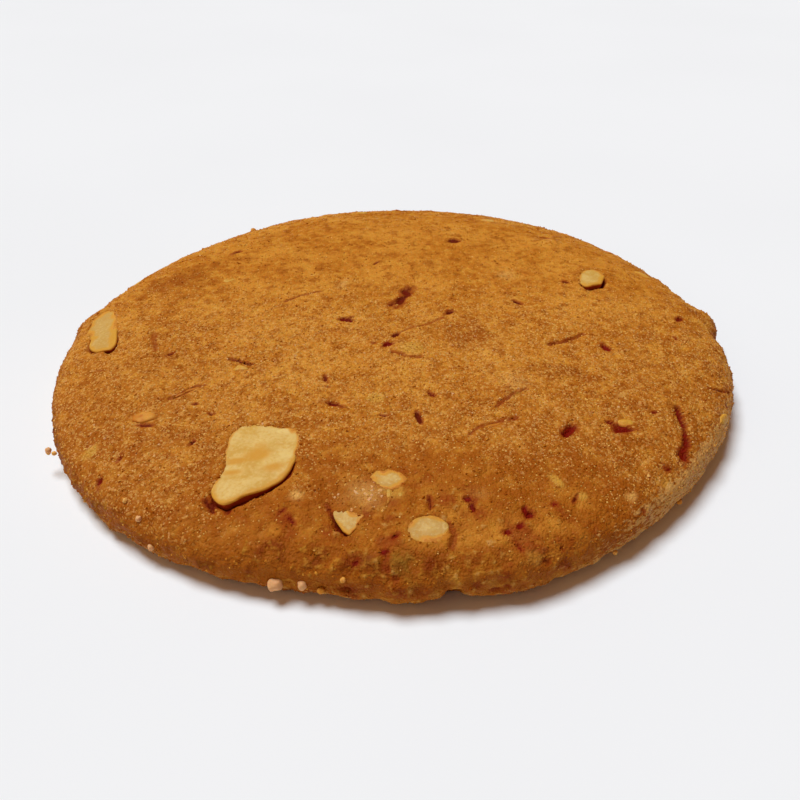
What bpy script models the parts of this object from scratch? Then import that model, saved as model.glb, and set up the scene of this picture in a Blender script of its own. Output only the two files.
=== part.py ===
"""Carrot cake cookie: one round, soft-baked dough body with chopped nuts set into it.

Units are metres, +Z is up. The origin is the middle of the flat base that the cookie
rests on, and -Y is the side that carries the largest piece of nut.
"""

import math
from collections import namedtuple

import bmesh
import bpy
from mathutils import Vector, noise

MM = 0.001

# Driving dimensions of the dough body.
MEAN_RADIUS = 38.0 * MM
CROWN_HEIGHT = 7.8 * MM  # top of the dome above the base
WIDEST_HEIGHT = 2.8 * MM  # height of the widest ring of the side
DOME_FLATNESS = 3.4  # a higher power keeps the top flat further out
SHOULDER_ROUNDNESS = 2.3  # 2 is an elliptical shoulder, more is squarer
LUMP_SPAN = 7.0 * MM
LUMP_HEIGHT = 0.22 * MM
SIDE_LUMP_SPAN = 4.5 * MM
SIDE_LUMP_DEPTH = 0.45 * MM
SIDE_LUMP_SHIFT = Vector((0.0, 0.0, 9.0))  # keeps the side's lumps unlike those of the top
SLOPE_STEP = 0.5 * MM  # reach over which the crust's slope is measured

# Below the widest ring the side turns under: share of the radius, and height.
UNDERSIDE_RINGS = ((0.998, 1.9 * MM), (0.988, 1.1 * MM), (0.970, 0.45 * MM), (0.938, 0.0))

# The hand-rolled outline is not a true circle. Wave count, cosine and sine parts.
OUTLINE_WAVES = (
    (2, 0.0, 0.66 * MM),
    (3, 0.0, -0.27 * MM),
    (4, 0.05 * MM, 0.09 * MM),
    (5, 0.09 * MM, 0.0),
    (6, 0.09 * MM, -0.16 * MM),
)

# Local swellings (positive) and nicks (negative) of the edge: angle, size, half-width in degrees.
EDGE_MARKS = (
    (8.0, 1.20 * MM, 3.5),
    (2.2, -0.35 * MM, 1.6),
    (-73.0, 0.45 * MM, 6.0),
    (-89.0, 0.35 * MM, 4.0),
    (-101.0, -0.35 * MM, 4.0),
    (173.5, 0.80 * MM, 3.0),
)

GRID_CELLS = 54  # cells across the top, each about 1.4 mm
RIM_CROWDING = 0.6  # 0 spaces the rings evenly, 1 packs most of them at the shoulder
NUT_GAP = 0.36 * MM  # clear space between each nut and its pocket
NUT_EDGE = 0.35 * MM  # rounding of a nut's cut edges
HOLLOW_SIDES = 1  # subdivisions of the round bodies that carve pits and make bits

# A pit left by a burst bubble: place, length, width, depth, and turn of its length from +X.
Pit = namedtuple("Pit", "x y length width depth turn")
PITS = (
    Pit(1.1, 4.6, 2.8, 1.7, 1.3, 75),
    Pit(0.2, 2.2, 1.8, 1.4, 1.0, 60),
    Pit(6.1, -0.1, 1.8, 1.2, 1.5, 50),
    Pit(-5.6, -1.7, 2.0, 1.2, 0.9, 0),
    Pit(-1.2, -6.9, 2.0, 1.2, 1.0, 20),
    Pit(0.1, -4.9, 1.6, 1.1, 0.9, 40),
    Pit(-7.1, -13.5, 2.2, 1.0, 1.2, -60),
    Pit(-6.5, -17.5, 1.8, 0.9, 0.8, -10),
    Pit(2.1, -19.9, 1.5, 1.0, 1.1, -80),
    Pit(16.6, -21.3, 2.3, 1.6, 1.9, 35),
    Pit(21.9, -20.6, 2.4, 1.5, 1.6, 5),
    Pit(6.6, -31.1, 1.7, 1.4, 1.3, -70),
    Pit(11.6, -32.1, 1.7, 1.5, 1.4, 60),
    Pit(9.9, -33.4, 2.1, 1.2, 1.1, 15),
    Pit(-27.5, -26.2, 1.6, 1.3, 1.3, 40),
    Pit(-9.4, -32.5, 1.8, 1.2, 0.9, 20),
    Pit(23.1, -6.5, 1.7, 1.3, 0.8, -50),
    Pit(14.4, 2.9, 1.6, 1.0, 0.8, -60),
    Pit(19.8, 23.2, 2.2, 1.3, 0.8, -20),
    Pit(3.0, 18.5, 1.8, 1.1, 0.7, 10),
    Pit(-19.2, -17.8, 1.5, 0.9, 0.8, -20),
)

# A crack: width and depth in millimetres, then the points it runs through.
Crack = namedtuple("Crack", "width depth route")
CRACKS = (
    Crack(1.0, 1.6, ((28.2, -16.9), (28.9, -19.4), (28.4, -21.2), (27.5, -23.1))),
    Crack(0.8, 0.8, ((10.0, -18.0), (12.5, -15.5))),
    Crack(0.8, 0.7, ((7.0, -22.4), (9.6, -21.4), (11.3, -20.1))),
    Crack(0.8, 0.8, ((-0.3, -8.5), (1.0, -9.3), (2.4, -9.5))),
    Crack(0.8, 0.6, ((-22.7, -15.9), (-19.8, -14.0))),
    Crack(0.7, 0.7, ((17.0, -6.3), (20.8, -4.2))),
    Crack(0.7, 0.6, ((2.6, -2.8), (5.0, -1.1))),
    Crack(1.0, 1.0, ((4.9, -38.1), (5.0, -36.6))),
)

# A small scrap of nut or peel fused to the crust: place, length, width, height it stands proud, turn.
Bit = namedtuple("Bit", "x y length width proud turn")
BITS = (
    Bit(-16.3, -11.4, 2.1, 1.1, 0.35, 0),
    Bit(2.1, -7.6, 2.0, 1.3, 0.35, 20),
    Bit(-2.1, -17.2, 1.7, 1.1, 0.25, 0),
    Bit(12.9, 29.2, 2.6, 1.6, 0.35, -30),
    Bit(-15.1, 17.8, 2.2, 1.8, 0.30, 0),
    Bit(-24.9, -18.5, 2.6, 1.2, 0.35, 0),
    Bit(-29.2, -21.8, 2.4, 1.4, 0.35, -40),
    Bit(14.5, -27.9, 2.4, 1.1, 0.30, -60),
    Bit(22.1, -19.2, 2.1, 1.1, 0.30, 0),
    Bit(-20.7, 9.2, 1.8, 1.4, 0.30, 0),
    Bit(32.6, -16.6, 1.6, 1.2, 0.35, -50),
)

# A piece of nut: node name, place of its middle, thickness, height it stands proud, and the
# corners of its cut outline round that middle. All in millimetres.
Nut = namedtuple("Nut", "name x y thickness proud corners")
NUTS = (
    Nut("nut_front_left", -13.3, -26.0, 3.0, 0.55,
        ((-2.9, -4.2), (-1.4, -4.9), (1.4, -3.5), (3.8, -0.8), (4.3, 2.0),
         (3.4, 4.4), (0.6, 5.3), (-1.9, 4.0), (-2.1, 0.3))),
    Nut("nut_left_edge", -33.7, -0.6, 2.2, 0.30,
        ((-2.2, 1.2), (-1.8, 4.2), (-0.3, 5.6), (1.9, 1.4),
         (2.5, -3.2), (1.6, -4.4), (-0.3, -3.4))),
    Nut("nut_back_right", 24.1, 9.9, 2.4, 0.65,
        ((-1.6, -1.8), (-0.9, -2.7), (1.0, -1.7), (2.0, 0.6),
         (1.9, 2.2), (0.8, 2.9), (-0.6, 2.0), (-1.7, -0.3))),
    Nut("nut_front_middle", 3.0, -33.8, 2.0, 0.40,
        ((-2.0, 0.2), (-0.9, 1.1), (0.5, 1.1), (1.5, 0.3), (1.5, -0.7), (0.3, -1.3), (-1.0, -1.0))),
    Nut("nut_front_wedge", -3.8, -33.0, 1.8, 0.30,
        ((-1.5, 0.7), (-0.2, 0.9), (1.2, 0.4), (0.3, -1.5), (-0.7, -0.8))),
    Nut("nut_front_inner", -0.6, -28.3, 1.8, 0.25,
        ((-1.6, 0.2), (-0.6, 1.0), (0.8, 0.6), (1.6, -0.1), (0.4, -1.0), (-0.9, -0.7))),
)

# Surface colours, linear RGB.
DOUGH_COLOUR = (0.44, 0.18, 0.035)
NUT_COLOUR = (0.66, 0.42, 0.14)


def clear_scene():
    for item in list(bpy.data.objects):
        bpy.data.objects.remove(item, do_unlink=True)


def make_material(name, colour, roughness):
    material = bpy.data.materials.new(name)
    material.use_nodes = True
    shader = material.node_tree.nodes["Principled BSDF"]
    shader.inputs["Base Color"].default_value = (*colour, 1.0)
    shader.inputs["Roughness"].default_value = roughness
    shader.inputs["Metallic"].default_value = 0.0
    return material


def edge_radius(angle):
    """Radius of the widest ring at an angle from +X."""
    radius = MEAN_RADIUS
    for count, cosine, sine in OUTLINE_WAVES:
        radius += cosine * math.cos(count * angle) + sine * math.sin(count * angle)
    for mark_angle, size, half_width in EDGE_MARKS:
        away = (math.degrees(angle) - mark_angle + 180.0) % 360.0 - 180.0
        radius += size * math.exp(-((away / half_width) ** 2))
    return radius


def outline_middle():
    """Middle of the outline's bounding box, which the base's origin is moved to."""
    turns = [math.radians(step / 4) for step in range(4 * 360)]
    across = [edge_radius(a) * math.cos(a) for a in turns]
    deep = [edge_radius(a) * math.sin(a) for a in turns]
    return Vector(((max(across) + min(across)) / 2, (max(deep) + min(deep)) / 2, 0.0))


def crust_height(x, y):
    """Height of the top crust: a flat dome with a round shoulder, and soft lumps that fade there."""
    share = min(math.hypot(x, y) / edge_radius(math.atan2(y, x)), 1.0)
    dome = (1.0 - share**DOME_FLATNESS) ** (1.0 / SHOULDER_ROUNDNESS)
    lumps = LUMP_HEIGHT * noise.noise(Vector((x, y, 0.0)) / LUMP_SPAN)
    return WIDEST_HEIGHT + (CROWN_HEIGHT - WIDEST_HEIGHT) * dome + lumps * min(dome * 2.0, 1.0)


def crust_normal(x, y):
    """Outward direction of the crust over a point."""
    rise_x = crust_height(x + SLOPE_STEP, y) - crust_height(x - SLOPE_STEP, y)
    rise_y = crust_height(x, y + SLOPE_STEP) - crust_height(x, y - SLOPE_STEP)
    return Vector((-rise_x, -rise_y, 2 * SLOPE_STEP)).normalized()


def square_to_disc(a, b):
    """Point of the unit square moved to the unit disc, so square rings become round ones."""
    if a == 0.0 and b == 0.0:
        return 0.0, 0.0
    if abs(a) > abs(b):
        reach, turn = a, (math.pi / 4) * (b / a)
    else:
        reach, turn = b, math.pi / 2 - (math.pi / 4) * (a / b)
    size = abs(reach)
    spaced = (1 - RIM_CROWDING) * size + RIM_CROWDING * math.sin(size * math.pi / 2)
    reach = math.copysign(spaced, reach)
    return reach * math.cos(turn), reach * math.sin(turn)


def side_lump(angle, height):
    """Soft unevenness of the side, in and out of its ring."""
    spot = Vector((MEAN_RADIUS * math.cos(angle), MEAN_RADIUS * math.sin(angle), height * 2.0))
    return SIDE_LUMP_DEPTH * noise.noise(spot / SIDE_LUMP_SPAN + SIDE_LUMP_SHIFT)


def make_dough(material):
    """Domed top from a grid, then its edge drawn down ring by ring to a flat base."""
    bm = bmesh.new()
    bmesh.ops.create_grid(bm, x_segments=GRID_CELLS, y_segments=GRID_CELLS, size=1.0)
    for vert in bm.verts:
        x, y = square_to_disc(vert.co.x, vert.co.y)
        angle = math.atan2(y, x)
        radius = math.hypot(x, y) * edge_radius(angle)
        x, y = radius * math.cos(angle), radius * math.sin(angle)
        vert.co = (x, y, crust_height(x, y))
    rim = [edge for edge in bm.edges if edge.is_boundary]
    for share, height in UNDERSIDE_RINGS:
        drawn = bmesh.ops.extrude_edge_only(bm, edges=rim)["geom"]
        rim = [item for item in drawn if isinstance(item, bmesh.types.BMEdge) and item.is_boundary]
        for vert in {vert for edge in rim for vert in edge.verts}:
            angle = math.atan2(vert.co.y, vert.co.x)
            lump = side_lump(angle, height) if height > 0.0 else 0.0
            radius = edge_radius(angle) * share + lump
            vert.co = (radius * math.cos(angle), radius * math.sin(angle), height)
    bmesh.ops.holes_fill(bm, edges=rim, sides=0)
    bmesh.ops.recalc_face_normals(bm, faces=bm.faces)
    return finish_mesh(bm, "dough", material)


def finish_mesh(bm, name, material):
    """Mesh object of the given name, shaded smooth, in the scene's own collection."""
    mesh = bpy.data.meshes.new(name)
    bm.to_mesh(mesh)
    bm.free()
    mesh.shade_smooth()
    mesh.set_sharp_from_angle(angle=math.radians(50))
    thing = bpy.data.objects.new(name, mesh)
    if material is not None:
        mesh.materials.append(material)
    bpy.context.scene.collection.objects.link(thing)
    return thing


def seat(thing, x, y, lift=0.0):
    """Stands a thing on the crust over a point, upright to the crust there."""
    normal = crust_normal(x, y)
    thing.rotation_mode = "QUATERNION"
    thing.rotation_quaternion = Vector((0.0, 0.0, 1.0)).rotation_difference(normal)
    thing.location = Vector((x, y, crust_height(x, y))) + normal * lift


def make_round(name, length, width, height, turn, material=None):
    """Egg-shaped body centred on its own origin, with its length turned from +X."""
    bm = bmesh.new()
    bmesh.ops.create_icosphere(bm, subdivisions=HOLLOW_SIDES, radius=0.5)
    bmesh.ops.scale(bm, vec=(length, width, height), verts=bm.verts)
    spin = Vector((math.cos(turn), math.sin(turn)))
    for vert in bm.verts:
        x, y = vert.co.x, vert.co.y
        vert.co.x, vert.co.y = x * spin.x - y * spin.y, x * spin.y + y * spin.x
    return finish_mesh(bm, name, material)


def make_nut(nut, material):
    """Chopped nut: its cut outline extruded down and its edges rounded, top just proud."""
    bm = bmesh.new()
    face = bm.faces.new([bm.verts.new((x * MM, y * MM, 0.0)) for x, y in nut.corners])
    drawn = bmesh.ops.extrude_face_region(bm, geom=[face])["geom"]
    lower = [item for item in drawn if isinstance(item, bmesh.types.BMVert)]
    bmesh.ops.translate(bm, verts=lower, vec=(0.0, 0.0, -nut.thickness * MM))
    bmesh.ops.recalc_face_normals(bm, faces=bm.faces)
    bmesh.ops.bevel(bm, geom=bm.edges[:], offset=NUT_EDGE, segments=2, profile=0.5, affect="EDGES")
    bmesh.ops.triangulate(bm, faces=bm.faces)
    thing = finish_mesh(bm, nut.name, material)
    seat(thing, nut.x * MM, nut.y * MM, lift=nut.proud * MM)
    return thing


def as_cutter(thing, collection):
    thing.hide_render = True
    thing.display_type = "WIRE"
    bpy.context.scene.collection.objects.unlink(thing)
    collection.objects.link(thing)


def pocket_for(nut, collection):
    """Cutter that follows a nut with the gap all round it."""
    cutter = bpy.data.objects.new(nut.name + "_pocket", nut.data.copy())
    cutter.location = nut.location
    cutter.rotation_mode = "QUATERNION"
    cutter.rotation_quaternion = nut.rotation_quaternion
    bpy.context.scene.collection.objects.link(cutter)
    grow = cutter.modifiers.new("gap", "DISPLACE")
    grow.strength = NUT_GAP
    grow.mid_level = 0.0
    as_cutter(cutter, collection)


def crack_cutters(index, crack, collection):
    """A crack is a row of narrow hollows, one for each stretch of its route."""
    for step, (start, end) in enumerate(zip(crack.route, crack.route[1:])):
        run_x, run_y = end[0] - start[0], end[1] - start[1]
        length = math.hypot(run_x, run_y) + crack.width
        turn = math.atan2(run_y, run_x)
        hollow = make_round(
            f"crack_{index}_{step}", length * MM, crack.width * MM, 2 * crack.depth * MM, turn
        )
        seat(hollow, (start[0] + end[0]) / 2 * MM, (start[1] + end[1]) / 2 * MM)
        as_cutter(hollow, collection)


def add_boolean(thing, operation, collection):
    change = thing.modifiers.new(collection.name, "BOOLEAN")
    change.operation = operation
    change.solver = "EXACT"
    change.operand_type = "COLLECTION"
    change.collection = collection
    return change


def fuse_bits(dough):
    """Small scraps become part of the dough body."""
    bits = bpy.data.collections.new("bits")
    bpy.context.scene.collection.children.link(bits)
    for index, bit in enumerate(BITS):
        scrap = make_round(
            f"bit_{index}", bit.length * MM, bit.width * MM, 4 * bit.proud * MM, math.radians(bit.turn)
        )
        seat(scrap, bit.x * MM, bit.y * MM, lift=-bit.proud * MM)
        as_cutter(scrap, bits)
    change = add_boolean(dough, "UNION", bits)
    bpy.context.view_layer.objects.active = dough
    bpy.ops.object.modifier_apply(modifier=change.name)
    for scrap in list(bits.objects):
        bpy.data.objects.remove(scrap, do_unlink=True)
    bpy.data.collections.remove(bits)


def main():
    clear_scene()
    baked = make_material("baked_dough", DOUGH_COLOUR, 0.75)
    kernel = make_material("chopped_nut", NUT_COLOUR, 0.55)

    dough = make_dough(baked)
    fuse_bits(dough)

    hollows = bpy.data.collections.new("hollows")
    bpy.context.scene.collection.children.link(hollows)
    for index, pit in enumerate(PITS):
        hollow = make_round(
            f"pit_{index}", pit.length * MM, pit.width * MM, 2 * pit.depth * MM, math.radians(pit.turn)
        )
        seat(hollow, pit.x * MM, pit.y * MM)
        as_cutter(hollow, hollows)
    for index, crack in enumerate(CRACKS):
        crack_cutters(index, crack, hollows)

    nuts = [make_nut(nut, kernel) for nut in NUTS]
    for nut in nuts:
        pocket_for(nut, hollows)
    add_boolean(dough, "DIFFERENCE", hollows)

    cookie = bpy.data.objects.new("cookie", None)
    cookie.location = -outline_middle()
    bpy.context.scene.collection.objects.link(cookie)
    for piece in [dough, *nuts, *hollows.objects]:
        piece.parent = cookie


main()
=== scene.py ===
"""Carrot cake cookie: the finish of its crust, nuts, scraps, sugar and crumbs, and its stage."""

import math
from collections import namedtuple

import bpy
import numpy as np
from bpy.props import FloatProperty, FloatVectorProperty, IntProperty, PointerProperty
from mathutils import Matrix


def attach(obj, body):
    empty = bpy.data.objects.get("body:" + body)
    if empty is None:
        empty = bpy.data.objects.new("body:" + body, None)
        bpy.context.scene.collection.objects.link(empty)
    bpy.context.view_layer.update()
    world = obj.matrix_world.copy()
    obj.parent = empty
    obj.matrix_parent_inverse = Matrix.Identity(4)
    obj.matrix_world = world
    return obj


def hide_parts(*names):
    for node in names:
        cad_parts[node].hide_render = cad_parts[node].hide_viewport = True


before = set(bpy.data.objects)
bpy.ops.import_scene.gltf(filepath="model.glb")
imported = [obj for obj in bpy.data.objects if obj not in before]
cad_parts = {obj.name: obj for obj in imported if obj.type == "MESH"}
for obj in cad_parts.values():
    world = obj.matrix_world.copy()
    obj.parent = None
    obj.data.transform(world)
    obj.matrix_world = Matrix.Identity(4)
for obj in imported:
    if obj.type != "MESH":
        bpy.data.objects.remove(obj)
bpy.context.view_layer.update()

bl_info = {
    "name": "Carrot cake cookie",
    "version": (1, 0, 0),
    "blender": (4, 5, 0),
    "location": "View3D > Sidebar > Cookie",
    "description": "Dresses a soft-baked cookie with crust, nuts, carrot, sugar and crumbs",
    "category": "Object",
}

MM = 0.001
BODY = "root"
DOUGH_SLOT = "baked_dough"
NUT_SLOT = "chopped_nut"
CRUST = "dough_crust"

# ---------------------------------------------------------------------------------------------
# The cookie's form, as it is built in the solids: millimetres and degrees
# ---------------------------------------------------------------------------------------------


def table(fields, *rows):
    """Rows of numbers, as tuples whose parts have names."""
    named = namedtuple("named", fields)
    return [named(*row) for row in rows]


# Wave count, cosine part and sine part of the outline's departure from a circle.
OUTLINE_WAVES = ((2, 0, 0.66), (3, 0, -0.27), (4, 0.05, 0.09), (5, 0.09, 0), (6, 0.09, -0.16))
# Local swellings (positive) and nicks (negative) of the edge: angle, size, half-width.
EDGE_MARKS = (
    (8, 1.2, 3.5), (2.2, -0.35, 1.6), (-73, 0.45, 6), (-89, 0.35, 4), (-101, -0.35, 4), (173.5, 0.8, 3),
)

# Holes torn in the crust: middle, length, width, depth, turn, and how red each is inside.
PITS = table(
    "x y length width depth turn red",
    (1.3, 5.6, 2.4, 1.5, 0.6, 70, 0.6), (0.4, 3.4, 2.6, 1.5, 0.7, 60, 0.5),
    (6.2, 0.2, 1.7, 0.9, 1.2, 50, 0.3), (-5.6, -1.4, 1.5, 0.8, 0.7, -10, 0.7),
    (-5, -0.9, 0.9, 0.5, 0.4, 40, 0.6), (0.1, -4.6, 1.3, 0.7, 0.7, 50, 0.5),
    (-0.9, -6.8, 1.3, 0.9, 0.8, 30, 0.9), (-2.4, -6.4, 1, 0.5, 0.4, -30, 0.6),
    (-7.1, -13.4, 1.9, 0.6, 1, -70, 0.4), (-6.8, -14.6, 0.8, 0.4, 0.5, -40, 0.4),
    (-6.4, -17.3, 1.3, 0.5, 0.6, -15, 0.7), (-5.2, -17.9, 0.9, 0.4, 0.3, -30, 0.7),
    (2.3, -19.6, 1.5, 0.5, 1, -75, 0.4), (-1.3, -19.3, 1, 0.4, 0.5, -10, 0.7),
    (3.7, -15.9, 1.1, 0.5, 0.5, -50, 0.8), (16.6, -21.2, 1.5, 1.4, 1.3, 35, 0.9),
    (22.1, -20.4, 2, 1.2, 1.2, 5, 0.9), (20.9, -19.4, 0.7, 0.5, 0.5, 0, 0.8),
    (6.5, -30.5, 1.1, 0.7, 0.8, -20, 0.8), (6.8, -31.5, 0.9, 0.5, 0.8, -80, 0.7),
    (11.7, -31.9, 1.1, 0.8, 0.9, 30, 0.8), (11.4, -31.2, 0.7, 0.4, 0.6, 80, 0.9),
    (10.7, -33.1, 0.8, 0.5, 0.6, 30, 0.9), (9.7, -33.7, 0.9, 0.6, 0.7, 20, 0.9),
    (10.5, -34.8, 1.3, 0.4, 0.4, -50, 0.9), (14.4, -34.4, 0.4, 0.3, 0.4, 0, 0.6),
    (-27.4, -26.1, 1.4, 0.9, 0.8, 60, 0.8), (-9.1, -32.4, 1.4, 0.6, 0.4, -50, 0.9),
    (-9.8, -31.7, 1, 0.4, 0.3, 40, 0.9), (0.1, -34.5, 0.9, 0.5, 0.4, 30, 0.9),
    (-0.9, -35.8, 0.8, 0.5, 0.4, 0, 0.9), (-3.2, -36.4, 0.8, 0.5, 0.5, 40, 0.8),
    (16.1, -29.7, 0.9, 0.4, 0.5, 60, 0.6), (14, -30.5, 0.9, 0.6, 0.4, 10, 1),
    (23.1, -6.4, 1.7, 0.9, 0.5, -45, 1), (14.4, 3.1, 1.4, 0.6, 0.6, -50, 0.5),
    (20.8, 8.5, 1.1, 0.6, 0.5, -50, 0.5), (19.9, 23.3, 1.8, 0.8, 0.6, -20, 0.4),
    (7.6, 20.3, 1.5, 1, 0.5, 10, 0.5), (4.3, 19.1, 0.8, 0.5, 0.3, 10, 0.4),
    (-2.5, 13.2, 1.3, 0.5, 0.4, 50, 0.4), (-21.2, 18.2, 1.6, 0.9, 0.5, 60, 0.3),
    (-17.9, -18.6, 0.9, 0.4, 0.5, -25, 0.5), (-20, -16.8, 0.7, 0.4, 0.4, 0, 0.6),
    (-19.1, -22.6, 1, 0.5, 0.6, 60, 0.5), (-24.3, -7.6, 1, 0.4, 0.5, 40, 0.4),
    (31.6, -3.2, 0.9, 0.5, 0.3, -60, 1), (23.9, -15.9, 0.4, 0.4, 0.4, 0, 0.2),
    (32.1, -13.9, 0.4, 0.4, 0.4, 0, 0.2), (25.8, -17.4, 0.9, 0.4, 0.3, 20, 0.8),
    (25.7, -24.6, 0.9, 0.7, 0.3, 0, 1), (33.3, 2, 1.5, 0.8, 0.4, 50, 0.7),
    (-26, -24, 1.4, 0.5, 0.3, 70, 0.8), (-24.4, -19.7, 1.7, 0.4, 0.4, -8, 0.7),
)
# Splits in the crust: width, depth, how red each is inside, and the route it runs along.
CRACKS = table(
    "width depth red route",
    (0.5, 0.9, 0.8, ((28.5, -16.1), (28.6, -17.4), (28.7, -18.9))),
    (0.65, 0.9, 0.8, ((28.7, -18.3), (28.6, -19.9), (28.2, -21.1))),
    (0.85, 0.7, 1, ((28.4, -20.6), (28, -21.6), (27.7, -22.4))),
    (0.35, 0.5, 0.2, ((10, -17.9), (10.8, -16.9), (12, -15.7), (13.4, -15))),
    (0.45, 0.4, 0.9, ((7.1, -22), (8.2, -21), (9.6, -20.6), (10.6, -19.9), (11.8, -19.6))),
    (0.4, 0.5, 0.3, ((-0.3, -8.3), (0.6, -8.7), (1.6, -9.3), (2.7, -9.1))),
    (0.45, 0.4, 0.4, ((-22.7, -15.7), (-21.4, -14.9), (-20.6, -14), (-19.6, -13.7))),
    (0.5, 0.5, 0.6, ((16.9, -6.4), (18, -5.9), (19.2, -5.2), (20.9, -3.9))),
    (0.35, 0.2, 0.2, ((0.6, -4), (1.8, -2.9), (3.4, -2.4), (5.4, -0.8))),
    (0.45, 0.8, 0.4, ((-17.6, -9.2), (-16.4, -9.7), (-15.1, -10.4))),
    (0.35, 0.3, 0.3, ((-13, 3.2), (-11.2, 4.6), (-9, 5.4))),
    (0.55, 0.2, 0.3, ((-27.2, -2.9), (-26.7, -4.8), (-26.1, -6.8))),
    (0.35, 0.6, 0.4, ((33.1, -11.7), (34.4, -11.4), (35.9, -10.6))),
    (0.35, 0.7, 0.6, ((3.1, -30.3), (3.2, -31.6))),
    (0.5, 0.4, 0.5, ((4.8, -33.3), (5.2, -34.2), (4.9, -35.2))),
    (0.4, 0.3, 0.4, ((-0.6, -35.8), (-0.7, -36.6), (-0.5, -37.3))),
    (0.3, 0.3, 0.4, ((-32, -9.2), (-30.9, -9.7))), (0.5, 0.8, 0.6, ((-16.6, -30.2), (-15.9, -31.1))),
    (0.45, 0.7, 0.6, ((-14.3, -30.7), (-14.6, -31.3))),
    (0.35, 0.7, 0.5, ((-5.9, -31.1), (-5.3, -32.4), (-4.8, -33.5))),
)

# Soft stains of the crust and the nuts by kind: middle, length, width, turn and strength.
OVAL = "x y length width turn strength"
PATCHES = {
    "browned": table(
        OVAL,
        (-27.5, 10, 13, 6.5, 35, 0.85), (8.6, -4.6, 7.5, 6, 0, 0.85), (17.9, -11.8, 9, 3, -15, 0.8),
        (-15, -33, 8, 3, -10, 0.35), (36.5, 4.6, 2.6, 2.2, 0, 0.9), (-9, -22, 9, 5, 20, 0.2),
        (4, -25, 14, 3, 8, 0.3),
    ),
    "reddish": table(
        OVAL,
        (10.9, -33.9, 4.2, 2.6, -20, 0.9), (27.6, -23, 2.6, 2.2, 0, 0.9), (-9.3, -32.3, 2.6, 1.8, 0, 0.6),
        (-0.6, -35, 3, 2.2, 0, 0.7), (22.6, -6.3, 1.8, 1.4, 0, 0.7), (13.8, -30.2, 2, 1.4, 0, 0.5),
        (-1.3, -15.2, 3, 1.6, 0, 0.35), (30.8, -2.8, 2.6, 2, 0, 0.35), (9.6, -36.3, 2, 1.6, 0, 0.6),
        (12.8, -34.9, 2.2, 1, 20, 0.6), (25.6, -24.4, 1.4, 1.4, 0, 0.7),
    ),
    "fruit": table(
        OVAL,
        (0.7, -36.7, 2.8, 3, 0, 0.6), (-2.1, -36.4, 2, 1.6, 0, 0.4), (11.9, -16.1, 2.2, 0.9, 45, 0.75),
    ),
    # Paler stains; those by the front nuts at (-2.5, -30), (-8.6, -30.1) and (21.5, -28.5) are painted
    # highlights.
    "pale": table(
        OVAL,
        (13.6, 10.1, 2.6, 3, 0, 0.45), (12.1, -13.8, 3.4, 4, 0, 0.4), (-6.3, 7.4, 3.4, 1, 75, 0.5),
        (-2.5, -30, 3.6, 3.6, 0, 0.5), (-8.6, -30.1, 1.1, 1, 0, 0.8), (21.5, -28.5, 1.2, 0.8, 30, 0.7),
        (22.9, -15.2, 0.9, 0.9, 0, 0.6), (7.5, -30, 2.4, 1.6, 0, 0.25),
    ),
    "cream": table(
        OVAL,
        (-10.6, -21.6, 2.6, 1, -5, 0.9), (-10.3, -24.9, 3, 3.4, 0, 0.6), (-14.9, -29, 3.4, 2, 30, 0.6),
        (-13.9, -22.9, 3.2, 2.2, 10, 0.5), (-3.9, -32.7, 2.4, 1.8, 0, 0.4), (2.9, -33.6, 2.2, 1.4, 0, 0.5),
        (-0.6, -28, 2.4, 1.2, 0, 0.5),
    ),
    "amber": table(
        OVAL,
        (-12.6, -24.9, 3.1, 2, 12, 1), (-14.5, -25.6, 2.8, 1, 8, 1), (-14.7, -27, 2.6, 0.9, 5, 0.8),
        (-11.1, -26.6, 2.8, 1.2, 15, 0.75),
    ),
    "yellow": table(
        OVAL,
        (-29.2, -22.3, 2.6, 1.4, 45, 0.9), (14.6, -27.8, 2.4, 1, -50, 1), (16.7, -29.4, 1.5, 1.1, 0, 0.9),
        (25.5, -26.2, 1.5, 1.3, 0, 0.8), (2, -7.6, 2.5, 2.3, 10, 0.8), (-2, -16.6, 2.2, 1.7, 0, 0.8),
        (12, -35.6, 1.8, 1.6, 0, 0.5), (8.4, -37.2, 1.6, 1.4, 0, 0.35), (4.8, -37.4, 2, 0.8, 0, 0.4),
        (0.1, -29.9, 1.9, 1.6, 0, 0.6),
    ),
}

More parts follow.
